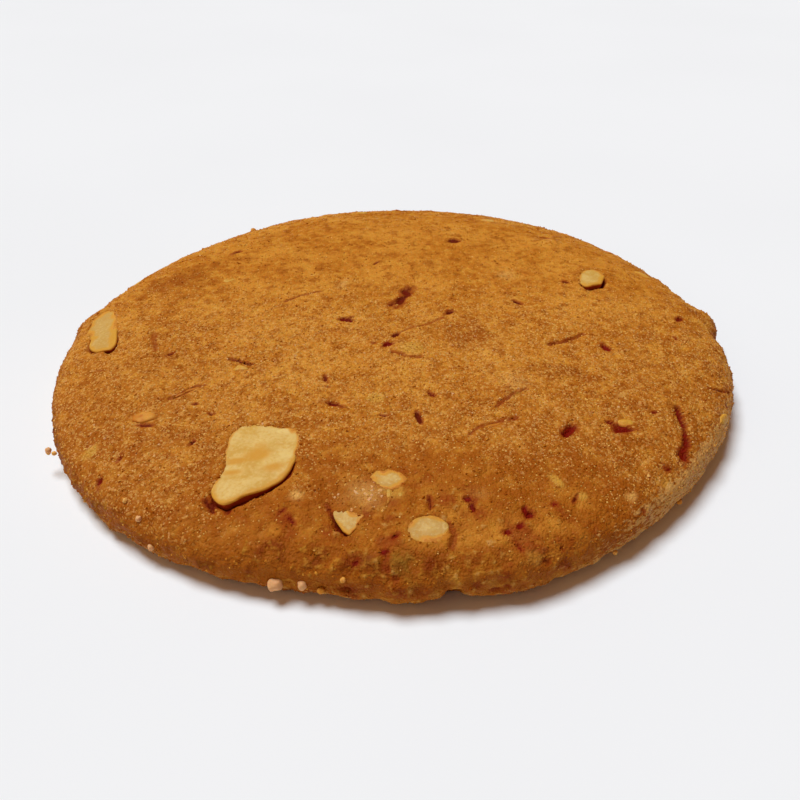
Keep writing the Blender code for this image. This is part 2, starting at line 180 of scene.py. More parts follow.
# Pieces of nut: CAD node, middle, thickness, height proud, the share of the crust's slope that each
# doesn't follow, how far it tips up towards its open gap, the gap's direction and width, how dull its
# flesh is, and the corners of its cut outline.
NUTS = table(
    "node x y thickness proud level tip gap_turn gap dull corners",
    ("nut_front_left", -13.3, -26, 2.4, 0.05, 0.2, 0.4, -62, 0.52, 0,
        ((-3.2, -3.3), (-2.6, -4.4), (-1.5, -4.8), (1.4, -3.4), (3.1, -2.3), (3.8, -1), (4.3, 0.9),
         (4.5, 2.4), (4.1, 3.9), (3.4, 4.9), (1.4, 5.4), (-0.2, 5.6), (-1.5, 5.4), (-2.4, 4.5), (-2.6, 3),
         (-2.5, 1.4), (-2.3, 0.1), (-2.4, -1), (-2.9, -2.1))),
    ("nut_left_edge", -33.7, -0.6, 1.8, 0.02, 0, 0.2, -75, 0.26, 0.7,
        ((-2.5, 2.2), (-2.6, 4.2), (-1.6, 6), (0.3, 5), (1.5, 1.2), (2.6, -4), (2.3, -5.2), (1.2, -4.5),
         (0.2, -4.8), (-0.8, -3.3), (-1.1, -1.4), (-2.3, 0.4))),
    ("nut_back_right", 24.1, 9.9, 2, 0.32, 0.3, 3, -60, 0.42, 0.35,
        ((-1.6, -1.8), (-0.9, -2.7), (1, -1.7), (2, 0.6), (1.9, 2.2), (0.8, 2.9), (-0.6, 2), (-1.7, -0.3))),
    ("nut_front_middle", 3, -33.8, 1.6, 0.07, 0.05, 0, 0, 0.05, 0.85,
        ((-2.1, 0), (-1.5, 1), (-0.4, 1.5), (0.8, 1.4), (1.8, 0.6), (1.7, -0.4), (0.8, -1.3), (-0.5, -1.4),
         (-1.6, -1))),
    ("nut_front_wedge", -3.8, -33, 1.5, 0.04, 0.05, 0.5, 200, 0.3, 0.8,
        ((-1.7, 1.5), (-0.4, 1.3), (1.4, 0.8), (0.8, -0.3), (0, -1.3), (-0.6, -0.8), (-1.2, 0.3))),
    ("nut_front_inner", -0.6, -28.3, 1.5, 0.07, 0.1, 0, -90, 0.02, 0.85,
        ((-1.8, 0.6), (-1.2, 1.3), (0.1, 1.4), (1.2, 1), (2, 0.1), (1.2, -0.9), (0.1, -1.4), (-1, -0.6))),
)

# Small scraps pressed into the crust: middle, length, width, thickness, height proud, turn.
SCRAP = "x y length width thickness proud turn"
NUT_SCRAPS = table(
    SCRAP,
    (-16.1, -11.2, 2.1, 1.1, 0.9, 0.12, -8), (12.9, 29.2, 2.6, 1.7, 0.9, 0.1, -30),
    (-20.6, 9.3, 1.5, 1.3, 0.8, 0.1, 20), (-33.2, 12.6, 2.2, 1.1, 0.8, 0.08, 60),
    (31.9, 14, 2.6, 1, 0.8, 0.18, -30), (22.5, -19.2, 1.9, 1.2, 0.8, 0.15, 0),
    (-5, 33, 2, 1.1, 0.8, 0.14, 15), (-0.5, -30, 2.1, 0.45, 0.5, 0.07, 88),
    (0.5, -30.1, 1.9, 0.4, 0.5, 0.06, 94), (33.8, -15.4, 2, 1.2, 0.8, 0.2, 55),
)
CARROT_SCRAPS = table(
    SCRAP,
    (-24.7, -18.6, 2.6, 1.7, 1.1, 0.26, -8), (-15, 17.9, 1.9, 1.6, 0.8, 0.05, 0),
    (-22, 25.5, 1.9, 0.9, 0.7, 0.12, 50), (29, 21.5, 1.7, 0.7, 0.7, 0.12, -20),
)

# Shreds lying half sunk: width, how ripe its colour is (0 green, 1 orange), and the route.
SHREDS = table(
    "width ripe route",
    (0.45, 0, ((10.5, -18), (11.5, -16.9), (12.7, -15.9), (13.7, -15.4))),
    (0.55, 0.9, ((7.4, -21.7), (8.8, -20.9), (10.2, -20.3), (11.3, -19.9))),
    (0.45, 0.8, ((-22.4, -15.3), (-21.2, -14.4), (-20, -13.9))),
    (0.5, 0.9, ((17.3, -6.9), (18.9, -6), (20.6, -4.7))),
    (0.45, 0.8, ((-12.8, 2.6), (-11, 3.9), (-9.1, 4.7))),
    (0.45, 0.9, ((-26.6, -3.4), (-26.2, -5), (-25.6, -6.6))),
    (0.5, 0.7, ((20, 22.2), (21.4, 22), (22.8, 22.6))),
)

# Crumbs on the side or at the foot: angle, share of the radius, height, diameter, paleness.
CRUMBS = table(
    "angle share height size pale",
    (-105.5, 1, 1.95, 1.1, 1), (-102, 1, 2.15, 0.8, 1), (-99.5, 1, 1.75, 0.55, 0.5),
    (-96.5, 0.998, 3.4, 0.45, 0.6), (-130.2, 0.968, 4.75, 0.45, 0.9), (-126.5, 0.984, 4.3, 0.5, 1),
    (-124, 1, 2.2, 0.6, 1), (-151.5, 1.021, 2.8, 0.55, 1), (-152, 1.022, 2.35, 0.5, 0.9),
    (-150.8, 1.009, 2.55, 0.45, 0.8), (124, 0.992, 4.2, 0.8, 0.3), (-43, 0.998, 1.6, 0.5, 0.5),
    (-58, 0.996, 1.2, 0.45, 0.7), (60, 0.998, 2.2, 0.7, 0.5), (95, 0.998, 1.6, 0.6, 0.7),
    (150, 0.998, 1.8, 0.65, 0.6),
)

TOP_CELLS = 272  # cells across the crust's grid, each about 0.3 mm
HALF_CELL = 0.14  # mm, half a cell's width
SIDE_ROWS = 14  # rings of the side below the widest one
BASE_RINGS = 5  # steps from the base's rim to its middle
NOISE_CELLS = 32  # random values along each side of the noise lattice, which then repeats

# Zones of the cookie. A span is where a zone starts and where it is full: heights in mm, or places
# or degrees where the name says so. A sector is the middle and the half-width in degrees of a bell
# curve round the side, where -90 is the front.
SIDE_SPAN = (4.6, 2.4)
BASE_SPAN = (0.35, 0.0)
LUMPY_SPAN = (6.8, 4.8)
# The side's colour carries painted shade, darkest in a band under the front's shoulder and darker on the
# left, and painted light at the foot, where it is lighter and dustier.
WALL_SPAN = (5.0, 3.6)
LIT_FOOT_SPAN = (2.6, 1.0)
DUST_SPAN = (5.0, 3.9)
SHADE_BAND_TOP, SHADE_BAND_FOOT = (5.5, 4.9), (4.1, 3.3)
FRONT_SHADE_SECTOR = (-92.0, 28.0)
CALM_SECTOR = (-85.0, 35.0)
RIGHT_SECTOR = (-35.0, 23.0)
LEFT_SECTOR = (-145.0, 16.0)
DUSTY_RIGHT_BACK, DUSTY_LEFT_BACK = (20.0, 60.0), (-165.0, -175.0)  # degrees
MOIST_FRONT = (-22.0, -33.0)  # y in mm
MOIST_ACROSS = (3.0, 19.0)  # middle and half-width of a bell curve along x, in mm
# Painted shade: the top is darker towards the front and on the flanks, over these spans of y and reach.
FRONT_SHADE_SPAN, FLANK_SHADE_BACK, CALM_BACK = (6.0, -36.0), (16.0, 4.0), (-4.0, 25.0)  # y in mm
FLANK_SHADE_REACH = (14.0, 30.0)  # mm from the middle
RIDGE_SQUEEZE = (0.2, 0.2, 2.0)  # stretches noise of 1 mm to 5 mm across and 0.5 mm in height

# How nuts and tears shape the dough, in mm.
NUT_REACH = 9.0  # from a nut's middle, within which its pocket lies
PIT_REACH = 4.0  # from a pit's middle, within which it marks the crust
GAP_DEPTH = 0.6  # of the open gap beside a nut
GAP_REDNESS = 0.55  # how red the dough is inside that gap
SHELF_FROM = 2.2  # thickness from which a kernel has a lower shelf
# Painted shade: the dark colour of pits and cracks stands in for the depth that is not cut.
TEAR_DEPTH = 0.5  # share of a pit's or a crack's depth that is cut; its dark colour shows the rest
SIDE_TEARS, TEAR_HEIGHTS, TEAR_SIZES = 46, (0.6, 4.6), (0.35, 0.8)  # their number and ranges
SHOULDER_SHARE = 0.985  # share of the radius at which tears above the widest ring lie
NICK_SECTOR, NICK_SPAN, NICK_DEPTH = (-82.3, 1.15), (2.6, 1.9), 1.1  # at the foot of the front
FLOOR_GAP = 0.02  # least height of the crust outside the underside

HEAP_COUNT = 44  # crystals of the heap beside the front nuts
HEAP_ACROSS, HEAP_ALONG = (-2.5, 1.4), (-30.0, 1.8)  # middle and half-width in mm along x and y
SMALL_CRUMBS = 130  # crumbs scattered round the side
OUT_OF_PITS = 0.35  # how hollow the crust may be under a grain or a crystal

# Stains that are painted on the crust, the brown one with painted shade, and all values that are.
CRUST_STAINS = ("browned", "reddish", "fruit", "pale", "yellow")
PAINTED = ("hollow", "covered", "calm", "moist", "side", "dusty") + CRUST_STAINS

# ---------------------------------------------------------------------------------------------
# Numbers and noise
# ---------------------------------------------------------------------------------------------


def linear(hex_colour):
    """sRGB hex colour as linear red, green, blue."""
    parts = [int(hex_colour[i : i + 2], 16) / 255 for i in (1, 3, 5)]
    return tuple(c / 12.92 if c <= 0.04045 else ((c + 0.055) / 1.055) ** 2.4 for c in parts)


def smooth(low, high, value):
    """Rises from 0 at low to 1 at high along a cubic with flat ends."""
    share = np.clip((value - low) / (high - low), 0.0, 1.0)
    return share * share * (3.0 - 2.0 * share)


def bell(value, middle, half_width, power=2):
    """1 at the middle, falling away on both sides as a bell curve. A higher power flattens its top."""
    return np.exp(-(((value - middle) / half_width) ** power))


def unit(vectors):
    """Vectors brought to a length of 1."""
    return vectors / np.linalg.norm(vectors, axis=-1, keepdims=True)


def full_turn(count):
    """Angles spaced evenly round a circle, from 0."""
    return np.linspace(0.0, 2 * math.pi, count, endpoint=False)


def noise(points, span, seed):
    """Smooth noise from -1 to 1. Each lattice corner, a span apart, has a random value, and a point
    blends the eight around it by a quintic ease along each axis."""
    lattice = np.random.default_rng(seed).uniform(-1.0, 1.0, (NOISE_CELLS,) * 3)
    place = np.asarray(points) / span
    cell = np.floor(place).astype(int)
    part = place - cell
    ease = part**3 * (part * (part * 6.0 - 15.0) + 10.0)
    total = np.zeros(len(place))
    for corner in np.ndindex(2, 2, 2):
        index = (cell + corner) % NOISE_CELLS
        weight = np.prod(np.where(corner, ease, 1.0 - ease), axis=1)
        total += weight * lattice[index[:, 0], index[:, 1], index[:, 2]]
    return total


def layered(points, span, seed, layers=3):
    """Sum of noise layers, each at half the span and half the height of the last."""
    return sum(0.5**k * noise(points, span / 2**k, seed + k) for k in range(layers))


# ---------------------------------------------------------------------------------------------
# The cookie's form as functions of place
# ---------------------------------------------------------------------------------------------


def edge_radius(turn):
    """Outline radius in mm: a circle plus a few waves and local marks, each mark a bell curve."""
    radius = np.full_like(turn, bpy.context.scene.cookie_form.radius / MM)
    for count, cosine, sine in OUTLINE_WAVES:
        radius = radius + cosine * np.cos(count * turn) + sine * np.sin(count * turn)
    for angle, size, half_width in EDGE_MARKS:
        away = (np.degrees(turn) - angle + 180.0) % 360.0 - 180.0
        radius = radius + size * bell(away, 0.0, half_width)
    return radius


def outline_middle():
    """Middle of the outline's bounding box in mm, which the origin of the solids stands on."""
    turn = np.radians(np.arange(0.0, 360.0, 0.25))
    radius = edge_radius(turn)
    sides = radius * np.cos(turn), radius * np.sin(turn)
    return np.array([(s.max() + s.min()) / 2 for s in sides] + [0.0])


def dome(share):
    """Crust height in mm at a share of the radius: a superellipse, flat on top, round at the rim."""
    form = bpy.context.scene.cookie_form
    rise = (1.0 - np.minimum(share, 1.0) ** form.flatness) ** (1.0 / form.roundness)
    return (form.widest + (form.crown - form.widest) * rise) / MM


def under_share(height):
    """Share of the radius below the widest ring: it turns under by a power of the depth."""
    form = bpy.context.scene.cookie_form
    return 1.0 - form.turn_under * np.clip(1.0 - height * MM / form.widest, 0.0, 1.0) ** 3.4


def crust_height(x, y):
    """Height in mm of the crust over points: the dome plus lumps that fade at the shoulder."""
    share = np.hypot(x, y) / edge_radius(np.arctan2(y, x))
    flat = np.stack([x, y, np.zeros_like(x)], axis=-1)
    lumps = 0.16 * noise(flat, 7.0, 11) + 0.07 * noise(flat, 3.1, 12)
    return dome(share) + lumps * smooth(1.0, 0.8, share)


def height_proud(points):
    """Height in mm of points over the crust that they stand on."""
    return points[:, 2] - crust_height(points[:, 0], points[:, 1])


def seat(x, y, level=0.0):
    """Place and axes on the crust over a point. The axes tilt with the crust, less a level share."""
    reach = 1.0
    steps = np.array([x, x + reach, x - reach, x, x]), np.array([y, y, y, y + reach, y - reach])
    heights = crust_height(*steps)
    slope_x = (heights[1] - heights[2]) / (2 * reach) * (1.0 - level)
    slope_y = (heights[3] - heights[4]) / (2 * reach) * (1.0 - level)
    along = unit(np.array([1.0, 0.0, slope_x]))
    up = unit(np.array([-slope_x, -slope_y, 1.0]))
    return np.array([x, y, heights[0]]), np.stack([along, np.cross(up, along), up])


def turned(axes, degrees):
    """Axes turned about their own upright one."""
    turn = math.radians(degrees)
    along, across, up = axes
    return np.stack([
        along * math.cos(turn) + across * math.sin(turn),
        across * math.cos(turn) - along * math.sin(turn),
        up,
    ])


def oval_distance(points, mark):
    """0 in the middle of a mark's oval on the crust and 1 on its rim."""
    place, axes = seat(mark.x, mark.y)
    local = (points - place) @ turned(axes, mark.turn).T
    thick = max(mark.length, mark.width, 1.5)
    return np.sqrt(
        (local[:, 0] / (mark.length / 2)) ** 2
        + (local[:, 1] / (mark.width / 2)) ** 2
        + (local[:, 2] / thick) ** 2
    )


def route_distance(points, route):
    """Distance in mm from points to a route that lies on the crust."""
    x, y = np.array(route).T
    stops = np.stack([x, y, crust_height(x, y)], axis=1)
    away = np.full(len(points), np.inf)
    for start, end in zip(stops, stops[1:]):
        run = end - start
        share = np.clip((points - start) @ run / (run @ run), 0.0, 1.0)
        away = np.minimum(away, np.linalg.norm(points - start - share[:, None] * run, axis=1))
    return away


def outline_distance(x, y, corners):
    """Signed distance to a closed outline, negative inside: the nearest edge's distance, with the
    sign from how many edges a line to the right crosses."""
    away = np.full_like(x, np.inf)
    inside = np.zeros(x.shape, bool)
    for (x0, y0), (x1, y1) in zip(corners, np.roll(corners, -1, axis=0)):
        run_x, run_y = x1 - x0, y1 - y0
        share = np.clip(((x - x0) * run_x + (y - y0) * run_y) / (run_x**2 + run_y**2), 0.0, 1.0)
        away = np.minimum(away, np.hypot(x - x0 - share * run_x, y - y0 - share * run_y))
        if run_y:
            crosses = (y0 > y) != (y1 > y)
            inside ^= crosses & (x < x0 + (y - y0) * run_x / run_y)
    return np.where(inside, -away, away)


# ---------------------------------------------------------------------------------------------
# Meshes
# ---------------------------------------------------------------------------------------------


def vertex_normals(points, quads):
    """Outward unit normals: the cross product of each quad's diagonals, summed at its corners."""
    first, second, third, fourth = points[quads.T]
    facing = np.cross(third - first, fourth - second)
    total = np.stack(
        [np.bincount(quads.ravel(), np.repeat(facing[:, k], 4), len(points)) for k in range(3)], axis=1
    )
    return total / np.maximum(np.linalg.norm(total, axis=1, keepdims=True), 1e-12)


def ring_faces(rings, columns, first=0):
    """Quads between rings of points, each ring below the last and counted anticlockwise."""
    row, column = np.meshgrid(np.arange(rings - 1), np.arange(columns), indexing="ij")
    here = first + row * columns + column
    beside = first + row * columns + (column + 1) % columns
    return np.stack([here, here + columns, beside + columns, beside], axis=-1).reshape(-1, 4)


def closed_rings(rings, top, bottom):
    """Closed mesh from an array of rings, counted from the top down, and its two poles."""
    count, columns = rings.shape[:2]
    points = np.concatenate([rings.reshape(-1, 3), [top], [bottom]])
    column = np.arange(columns)
    beside = (column + 1) % columns
    last = (count - 1) * columns
    top_fan = np.stack([column, beside, np.full(columns, len(points) - 2)], axis=1)
    bottom_fan = np.stack([last + beside, last + column, np.full(columns, len(points) - 1)], axis=1)
    return points, ring_faces(count, columns), np.concatenate([top_fan, bottom_fan])


def joined(parts):
    """One mesh from several (points, quads, triangles)."""
    starts = np.cumsum([0] + [len(points) for points, _, _ in parts])
    points = np.concatenate([points for points, _, _ in parts])
    quads = np.concatenate([quads + start for (_, quads, _), start in zip(parts, starts)])
    triangles = np.concatenate([three + start for (_, _, three), start in zip(parts, starts)])
    return points, quads, triangles


def make_piece(name, points, faces, material, attributes, node=None, crisp=False):
    """Mesh object from points in mm, a list of face arrays and values painted on the points, riding
    on the cookie's body. The origin moves to the middle of the outline, as in the solids."""
    mesh = bpy.data.meshes.new(name)
    places = (np.asarray(points) - outline_middle()) * MM
    mesh.vertices.add(len(places))
    mesh.vertices.foreach_set("co", places.astype(np.float32).ravel())
    faces = [f for f in faces if len(f)]
    sizes = np.concatenate([np.full(len(f), f.shape[1]) for f in faces])
    corners = np.concatenate([f.ravel() for f in faces])
    mesh.loops.add(len(corners))
    mesh.loops.foreach_set("vertex_index", corners.astype(np.int32))
    mesh.polygons.add(len(sizes))
    mesh.polygons.foreach_set("loop_start", (np.cumsum(sizes) - sizes).astype(np.int32))
    mesh.update(calc_edges=True)
    if mesh.validate():
        raise RuntimeError(f"{name} has faces that Blender can't keep")
    if crisp:
        mesh.shade_flat()
    else:
        mesh.shade_smooth()
    for label, values in attributes.items():
        layer = mesh.attributes.new(label, "FLOAT", "POINT")
        layer.data.foreach_set("value", np.asarray(values, dtype=np.float32))
    mesh.materials.append(material)
    piece = bpy.data.objects.new(name, mesh)
    bpy.context.scene.collection.objects.link(piece)
    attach(piece, BODY)
    if node:
        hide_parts(node)
    return piece


# ---------------------------------------------------------------------------------------------
# Materials
# ---------------------------------------------------------------------------------------------

WARM_GLOW = (1.0, 0.45, 0.15)  # share of the depth that red, green and blue light reach in dough
GLOSS_SPAN = (0.35, 0.65)  # values of a pattern between which most of it lies

# A pattern through the solid: kind, width of its spots in mm, detail, and how far it is squeezed
# along each axis. A cloud is smooth noise, cells give each grain a value of its own, and mounds are
# 0 in the middle of each grain and rise to its edge.
Pattern = namedtuple("Pattern", "kind width detail squeeze", defaults=(2.0, None))
KINDS = {
    "cloud": ("ShaderNodeTexNoise", "Fac"),
    "cells": ("ShaderNodeTexVoronoi", "Color"),
    "mounds": ("ShaderNodeTexVoronoi", "Distance"),
}

# A colour laid over those below it where its source, a pattern or a value painted on the mesh, goes
# from low to high, up to a strength. Another pattern may break up its edge to a depth.
Coat = namedtuple("Coat", "source low high strength colour broken depth", defaults=(None, 0.0))


def add_node(tree, kind, settings=None, inputs=None, links=None):
    """Adds a shader node with its settings, its input values by name or number, and its links, each
    from (node, output) to an input."""
    node = tree.nodes.new(kind)
    for label, value in (settings or {}).items():
        setattr(node, label, value)
    for label, value in (inputs or {}).items():
        node.inputs[label].default_value = value
    for label, (source, output) in (links or {}).items():
        tree.links.new(source.outputs[output], node.inputs[label])
    return node


def finish(name, base, patterns, coats, relief, gloss, specular, soft, glow=WARM_GLOW):
    """Material from its recipe. Coats of colour lie over the base colour. The relief sums patterns,
    each times the depth in mm that it spans. The gloss is a pattern with the roughness at its low and
    its high end. Soft is the share and the depth in mm of the light that enters, and glow how far each
    of its colours gets."""
    material = bpy.data.materials.new(name)
    material.use_nodes = True
    tree = material.node_tree
    shader = tree.nodes["Principled BSDF"]
    place = add_node(tree, "ShaderNodeTexCoord")
    sources = {}
    used = {coat.source for coat in coats} | {coat.broken for coat in coats if coat.broken}
    used |= {label for label, _ in relief} | {gloss[0]}
    for label in sorted(used):
        if label not in patterns:
            sources[label] = (add_node(tree, "ShaderNodeAttribute", {"attribute_name": label}), "Fac")
            continue
        pattern = patterns[label]
        spot = (place, "Object")
        if pattern.squeeze:
            scale = {"Scale": pattern.squeeze}
            spot = (add_node(tree, "ShaderNodeMapping", None, scale, {"Vector": spot}), "Vector")
        kind, output = KINDS[pattern.kind]
        detail = {"Scale": 1.0 / (pattern.width * MM), "Detail": pattern.detail}
        sources[label] = (add_node(tree, kind, None, detail, {"Vector": spot}), output)

    colour = None
    for coat in coats:
        links = {"Value": sources[coat.source]}
        if coat.broken:
            ragged = add_node(
                tree, "ShaderNodeMath", {"operation": "MULTIPLY_ADD"}, {1: coat.depth},
                {0: sources[coat.broken], 2: sources[coat.source]},
            )
            links = {"Value": (ragged, "Value")}
        span = {
            "From Min": coat.low + coat.depth / 2,
            "From Max": coat.high + coat.depth / 2,
            "To Max": coat.strength,
        }
        amount = add_node(tree, "ShaderNodeMapRange", {"interpolation_type": "SMOOTHSTEP"}, span, links)
        values = {7: (*coat.colour, 1.0)}
        links = {0: (amount, "Result")}
        if colour:
            links[6] = colour
        else:
            values[6] = (*base, 1.0)
        colour = (add_node(tree, "ShaderNodeMix", {"data_type": "RGBA"}, values, links), 2)
    tree.links.new(colour[0].outputs[2], shader.inputs["Base Color"])

    height = None
    for label, depth in relief:
        values, links = {1: depth}, {0: sources[label]}
        if height:
            links[2] = height
        else:
            values[2] = 0.0
        height = (add_node(tree, "ShaderNodeMath", {"operation": "MULTIPLY_ADD"}, values, links), "Value")
    if height:
        bump = add_node(tree, "ShaderNodeBump", None, {"Strength": 1.0, "Distance": MM}, {"Height": height})
        tree.links.new(bump.outputs["Normal"], shader.inputs["Normal"])
    label, low, high = gloss
    span = {"From Min": GLOSS_SPAN[0], "From Max": GLOSS_SPAN[1], "To Min": low, "To Max": high}
    rough = add_node(tree, "ShaderNodeMapRange", None, span, {"Value": sources[label]})
    tree.links.new(rough.outputs["Result"], shader.inputs["Roughness"])
    shader.inputs["Specular IOR Level"].default_value = specular
    share, depth = soft
    shader.inputs["Subsurface Weight"].default_value = share
    shader.inputs["Subsurface Radius"].default_value = glow
    shader.inputs["Subsurface Scale"].default_value = depth * MM
    return material


def crust_patterns():
    """Patterns that the crust and its grains share, so that one runs on through the other."""
    return {
        "cloud": Pattern("cloud", 6.0, 3.0),
        "patchy": Pattern("cloud", 1.5, 3.0),
        "mottle": Pattern("cloud", 0.75, 2.0),
        "grain": Pattern("cells", 0.24, 0.0),
        "mound": Pattern("mounds", 0.24, 0.0),
        # Spots where painted glints of melted sugar glaze lie.
        "fleck": Pattern("cloud", 0.34, 1.0),
        "sand": Pattern("cloud", 0.20, 1.0),
        "streak": Pattern("cloud", 0.42, 2.0, (0.6, 0.6, 2.0)),
    }


def crust_coats(looks):
    """Colours that the crust and its grains share: clouds, blotches, brown hills with painted shade, the
    side with painted shade and light, painted glints and a rim of dust.
    """
    return (
        Coat("cloud", 0.40, 0.62, 1.0, looks.crust_light),
        Coat("patchy", 0.50, 0.68, 0.62, looks.crust_brown),
        Coat("patchy", 0.48, 0.34, 0.55, looks.crust_gold),
        Coat("mottle", 0.56, 0.74, 0.36, looks.crust_brown),
        Coat("mottle", 0.46, 0.30, 0.42, looks.crust_gold),
        # The side's colour, with painted shade at the front and left and painted light at the foot.
        Coat("side", 0.0, 1.0, 0.90, looks.side),
        # Brown hills, with painted shade towards the front and on the flanks.
        Coat("browned", 0.0, 1.0, 1.0, looks.crust_brown, "patchy", 1.2),
        Coat("side", 0.70, 1.20, 0.65, looks.side_dark, "patchy", 2.4),
        Coat("side", 0.80, 1.75, 0.75, looks.ochre, "mottle", 3.0),
        Coat("moist", 0.90, 1.50, 0.65, looks.reddish, "patchy", 3.0),
        Coat("moist", 0.80, 1.75, 0.55, looks.ochre, "mottle", 3.0),
        # Painted glints on the moist front.
        Coat("moist", 1.30, 1.90, 0.50, looks.fleck, "mottle", 3.0),
        Coat("pale", 0.0, 1.0, 1.0, looks.crust_pale),
        # Painted glints of sugar glaze all over, fewer where the crust is calm.
        Coat("fleck", 0.72, 0.82, 0.55, looks.fleck, "calm", -0.2),
        Coat("yellow", 0.0, 1.0, 0.85, looks.yellow, "mottle", 0.6),
        # Dust on the rim, with painted light at the foot.
        Coat("dusty", 0.50, 0.80, 0.85, looks.dust, "streak", 2.2),
        Coat("fruit", 0.0, 1.0, 0.8, looks.fruit, "mottle", 0.8),
        Coat("reddish", 0.25, 0.75, 0.7, looks.reddish, "mottle", 1.0),
    )


def baked_crust():
    """Baked carrot cake dough: flour, brown sugar and spice set in a matt, sandy crust. The eye sees
    orange-brown with grains a third of a mm wide, some of them pale and some of those painted glints,
    brown hills and painted shade towards the front, dark red-brown holes where the moist inside shows,
    made darker by painted shade, and a dustier rim with fine ridges along it."""
    looks = bpy.context.scene.cookie_looks
    coats = crust_coats(looks) + (
        Coat("grain", 0.15, -0.10, 0.30, looks.crust_dark, "calm", 0.5),
        # Pale cells: paler grains, partly painted glints on sugary grains.
        Coat("grain", 0.83, 1.10, 0.40, looks.crust_pale, "calm", -0.5),
        Coat("sand", 0.22, 0.05, 0.30, looks.crust_dark, "calm", 0.4),
        # Painted shade: pits, cracks, the open gaps by the nuts and the side's tears are darker, over the
        # moist dough's red.
        Coat("hollow", 0.05, 0.45, 0.7, looks.reddish, "sand", 0.4),
        Coat("hollow", 0.46, 0.80, 1.0, looks.hollow, "sand", 0.4),
        Coat("wet", 0.40, 0.75, 0.9, looks.wet, "sand", 0.4),
    )
    relief = (("patchy", 0.30), ("mottle", 0.16), ("mound", -0.09), ("sand", 0.05), ("streak", 0.08))
    gloss, soft = ("mottle", 0.55, 0.8), (0.25, 0.5)
    return finish("baked_dough_crust", looks.crust, crust_patterns(), coats, relief, gloss, 0.08, soft)


def nut_flesh():
    """Chopped nut kernel: pale, waxy and slightly see-through, cut with a knife. The eye sees cream
    with a deeper yellow in its middle and on its cut sides, and a film of dough round its edge."""
    looks = bpy.context.scene.cookie_looks
    patterns = {
        "cloud": Pattern("cloud", 1.6, 2.0),
        "fibre": Pattern("cloud", 0.35, 2.0, (0.35, 1.6, 1.0)),
        "grain": Pattern("cloud", 0.30, 3.0),
    }
    coats = (
        Coat("cloud", 0.38, 0.62, 0.6, looks.nut_light),
        Coat("dull", 0.0, 1.0, 1.0, looks.nut_dull),
        Coat("cream", 0.0, 1.0, 1.0, looks.nut_light, "grain", 0.3),
        Coat("grain", 0.50, 0.68, 0.35, looks.nut_light),
        Coat("grain", 0.48, 0.34, 0.30, looks.nut_core),
        Coat("amber", 0.10, 0.85, 0.9, looks.nut_core, "cloud", 0.6),
        Coat("filmed", 0.25, 0.85, 0.9, looks.crust_gold, "grain", 0.5),
        Coat("filmed", 0.75, 1.10, 0.9, looks.crust, "grain", 0.8),
        # Painted shade on the kernel's sunk sides, in the colour of the dough that clings there.
        Coat("sunk", 0.20, 0.80, 1.0, looks.gap, "grain", 0.5),
    )
    relief = (("cloud", 0.06), ("fibre", 0.02), ("grain", 0.045))
    gloss, soft = ("cloud", 0.50, 0.65), (0.4, 0.5)
    glow = (1.0, 0.8, 0.4)
    return finish("chopped_nut_kernel", looks.nut, patterns, coats, relief, gloss, 0.2, soft, glow)


def candied_carrot():
    """Baked carrot: moist orange flesh with a thin glaze of its own sugar, darker at its edges."""
    looks = bpy.context.scene.cookie_looks
    patterns = {"cloud": Pattern("cloud", 0.9, 3.0), "grain": Pattern("cloud", 0.3, 2.0)}
    coats = (
        Coat("cloud", 0.38, 0.62, 0.5, looks.carrot_light),
        Coat("ripe", 0.0, 1.0, 0.9, looks.carrot_light),
        Coat("green", 0.0, 1.0, 1.0, looks.fruit),
        Coat("filmed", 0.20, 0.80, 1.0, looks.crust, "grain", 0.8),
    )
    relief = (("cloud", 0.10), ("grain", 0.04))
    gloss, soft = ("cloud", 0.5, 0.65), (0.25, 0.4)
    return finish("baked_carrot", looks.carrot, patterns, coats, relief, gloss, 0.15, soft)


def dough_grain():
    """Grains of baked dough and brown sugar: the crust's colours with its painted shade, light and glints,
    some darker and some paler.
    """
    looks = bpy.context.scene.cookie_looks
    coats = crust_coats(looks) + (
        Coat("shade", 0.30, 0.05, 0.60, looks.crust_dark),
        Coat("shade", 0.55, 0.80, 0.40, looks.crust_gold),
        Coat("shade", 0.78, 0.98, 0.95, looks.crust_pale),
        Coat("shade", 0.96, 1.00, 0.90, looks.sugar_heap),
    )
    relief = (("sand", 0.04),)
    gloss, soft = ("mottle", 0.35, 0.7), (0.2, 0.3)
    return finish("baked_dough_grain", looks.crust, crust_patterns(), coats, relief, gloss, 0.05, soft)


def sugar_crystal():
    """Sugar crystals: clear, hard-edged grains that take the crust's colour and flash in the light."""
    looks = bpy.context.scene.cookie_looks
    patterns = {"cloud": Pattern("cloud", 0.7)}
    coats = (
        Coat("cloud", 0.40, 0.60, 1.0, looks.crust_pale),
        Coat("heaped", 0.0, 1.0, 1.0, looks.sugar_heap),
    )
    gloss, soft = ("cloud", 0.4, 0.6), (0.3, 0.15)
    return finish("sugar_crystal", looks.sugar, patterns, coats, (), gloss, 0.1, soft)


def pale_board():
    """Matt white board for the floor, with the faintest clouding."""
    pale = tuple(bpy.context.scene.cookie_looks.floor)
    patterns = {"cloud": Pattern("cloud", 60.0)}
    coats = (Coat("cloud", 0.3, 0.7, 1.0, tuple(c * 0.985 for c in pale)),)
    gloss, soft = ("cloud", 0.8, 0.9), (0.0, 1.0)
    return finish("matt_white_board", pale, patterns, coats, (), gloss, 0.0, soft)


# ---------------------------------------------------------------------------------------------
# Crust
# ---------------------------------------------------------------------------------------------


